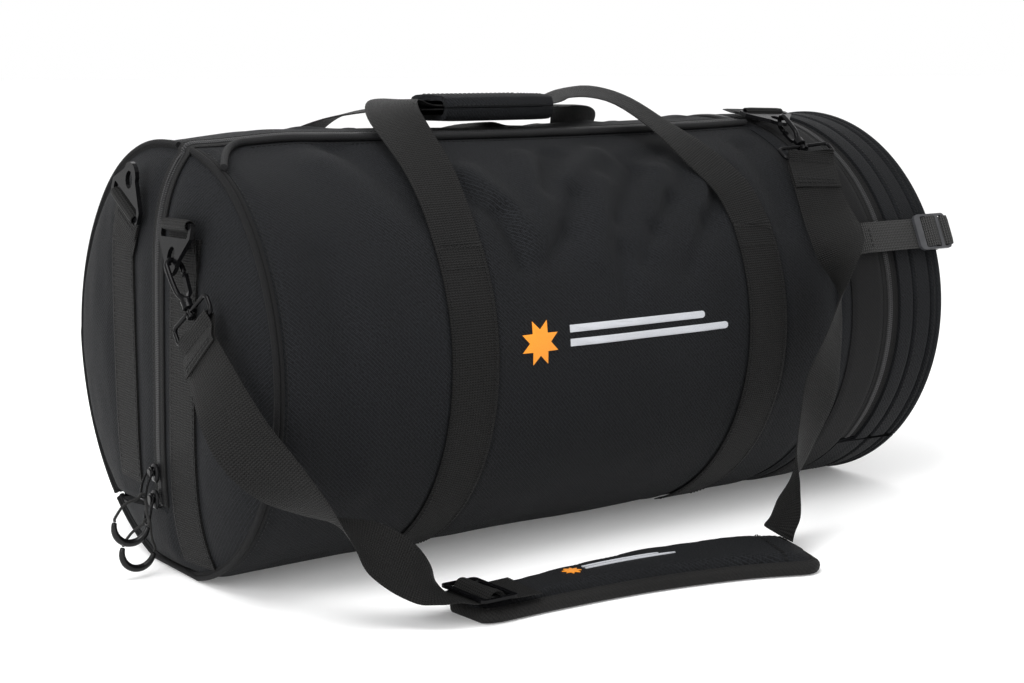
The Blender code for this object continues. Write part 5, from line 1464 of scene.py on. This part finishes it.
border = pad_outline()
binding = []
for k, point in enumerate(border):
    ahead, behind = border[(k + 1) % len(border)], border[k - 1]
    along = (ahead - behind).normalized()
    out = Vector((-along.y, along.x))
    shape = [(-0.0062, 0.0092), (-0.0044, 0.0098), (-0.0008, 0.0082), (0.0008, 0.0062), (0.0011, 0.0046),
             (0.0008, 0.0026), (-0.0004, 0.0008), (-0.0040, 0.0004), (-0.0045, 0.0012), (-0.0020, 0.0026),
             (-0.0014, 0.0046), (-0.0034, 0.0072)]
    binding.append([Vector((*(point + out * o), z)) for o, z in shape])
piece("pad_binding", *loft_data(binding, True), "binding", "case", (), 180)
rows = []
inner_line = [Vector((*p, 0.0094)) for p in pad_outline(0.0040)]
rows.append(straight([*inner_line, inner_line[0]], (0, 0, 1)))
for seam in PAD_SEAMS:
    for shift in (0.0, 0.006):
        line = [pad_point(seam + shift * (1 if seam < 0.5 else -1), a) for a in spaced(-0.82, 0.82, 0.1)]
        rows.append(straight(line, (0, 0, 1)))
stitches("pad_stitches", rows, "case")


# ---------------------------------------------------------------- embroidered emblem
def badge_data(outline, surface, rings=5, high=0.0007):
    """A raised satin patch: outline is (u, v) in metres, and surface gives (point, out) at (u, v)."""
    n = len(outline)
    cu, cv = sum(p[0] for p in outline) / n, sum(p[1] for p in outline) / n
    loops = []
    for k in range(rings + 1):
        scale = max(k / rings, 0.02)
        loops.append([(cu + (u - cu) * scale, cv + (v - cv) * scale, high * (1 - scale**6 * 0.6))
                      for u, v in outline])
    loops.append([(u, v, -0.0003) for u, v in outline])
    loops.append([(cu + (u - cu) * 0.02, cv + (v - cv) * 0.02, -0.0003) for u, v in outline])
    flat = [p for loop in loops for p in loop]
    _, faces, _ = loft_data([[Vector(p) for p in loop] for loop in loops])
    points = []
    for u, v, rise in flat:
        spot, out = surface(u, v)
        points.append(spot + out * rise)
    return points, faces, [(flat[i][0], flat[i][1]) for face in faces for i in face]


def star(middle, size, points=8, inner=0.55):
    count = points * 2
    turns = [2 * math.pi * k / count for k in range(count)]
    return [(middle[0] + size * (1 if k % 2 else inner) * math.cos(t),
             middle[1] + size * (1 if k % 2 else inner) * math.sin(t))
            for k, t in enumerate(turns)]


def bar(u0, u1, v, half):
    upper = [(u, v + half) for u in spaced(u0, u1 - half, 0.006)]
    lower = [(u, v - half) for u in reversed(spaced(u0, u1 - half, 0.006))]
    tip = [(u1 - half + half * math.sin(t), v + half * math.cos(t)) for t in (0.6, 1.2, 1.9, 2.5)]
    return [*upper, *tip, *lower]


def on_front(u, v):
    x, turn = -0.104 + u, 93.8 + math.degrees(v / RADIUS)
    return Vector((x, *rim(turn, cover_radius(x, turn) + 0.0001))), out_at(turn)


def on_pad(u, v):
    middle, half, aside = pad_section(0.345 + u / PAD_LONG)
    spot = middle + aside * (v + 0.004)
    return Vector((*spot, pad_top(spot) + 0.0003)), Vector((0, 0, 1))


for name, surface, size, extent in (("front", on_front, 0.0165, 0.196), ("pad", on_pad, 0.0065, 0.088)):
    piece(f"emblem_star_{name}", *badge_data(star((0, 0), size), surface), "orange", "case")
    bars = [badge_data(bar(size * 1.6, extent * share, size * level, size * 0.16), surface)
            for share, level in ((0.78, 0.45), (0.90, -0.15))]
    piece(f"emblem_bars_{name}", *joined(bars), "silver", "case")


# ---------------------------------------------------------------- studio
FLOOR = 30
floor_mesh = bpy.data.meshes.new("studio_floor")
corners = [(-FLOOR, -FLOOR, 0), (FLOOR, -FLOOR, 0), (FLOOR, FLOOR, 0), (-FLOOR, FLOOR, 0)]
floor_mesh.from_pydata(corners, [], [(0, 1, 2, 3)])
floor = bpy.data.objects.new("studio_floor", floor_mesh)
floor.location.z = -0.0004
floor_mesh.materials.append(rough_floor())
bpy.context.scene.collection.objects.link(floor)

world = bpy.data.worlds.new("studio")
world.use_nodes = True
world.node_tree.nodes["Background"].inputs["Color"].default_value = (1.0, 1.0, 1.0, 1.0)
world.node_tree.nodes["Background"].inputs["Strength"].default_value = 1.0
bpy.context.scene.world = world
bpy.context.scene.view_settings.view_transform = "Standard"


def softbox(name, place, target, size, power):
    data = bpy.data.lights.new(name, "AREA")
    data.shape = "RECTANGLE"
    data.size, data.size_y = size
    data.energy = power
    made = bpy.data.objects.new(name, data)
    made.location = place
    made.rotation_euler = (Vector(target) - Vector(place)).to_track_quat("-Z", "Y").to_euler()
    bpy.context.scene.collection.objects.link(made)


softbox("top_softbox", (-0.7, -0.5, 1.5), (0, 0, 0.1), (0.9, 0.7), 17)
softbox("left_softbox", (-1.8, -0.9, 0.9), (-0.2, -0.1, 0.15), (0.8, 1.2), 22)
softbox("back_softbox", (0.6, 1.6, 1.2), (0, 0, 0.2), (1.6, 1.0), 6)
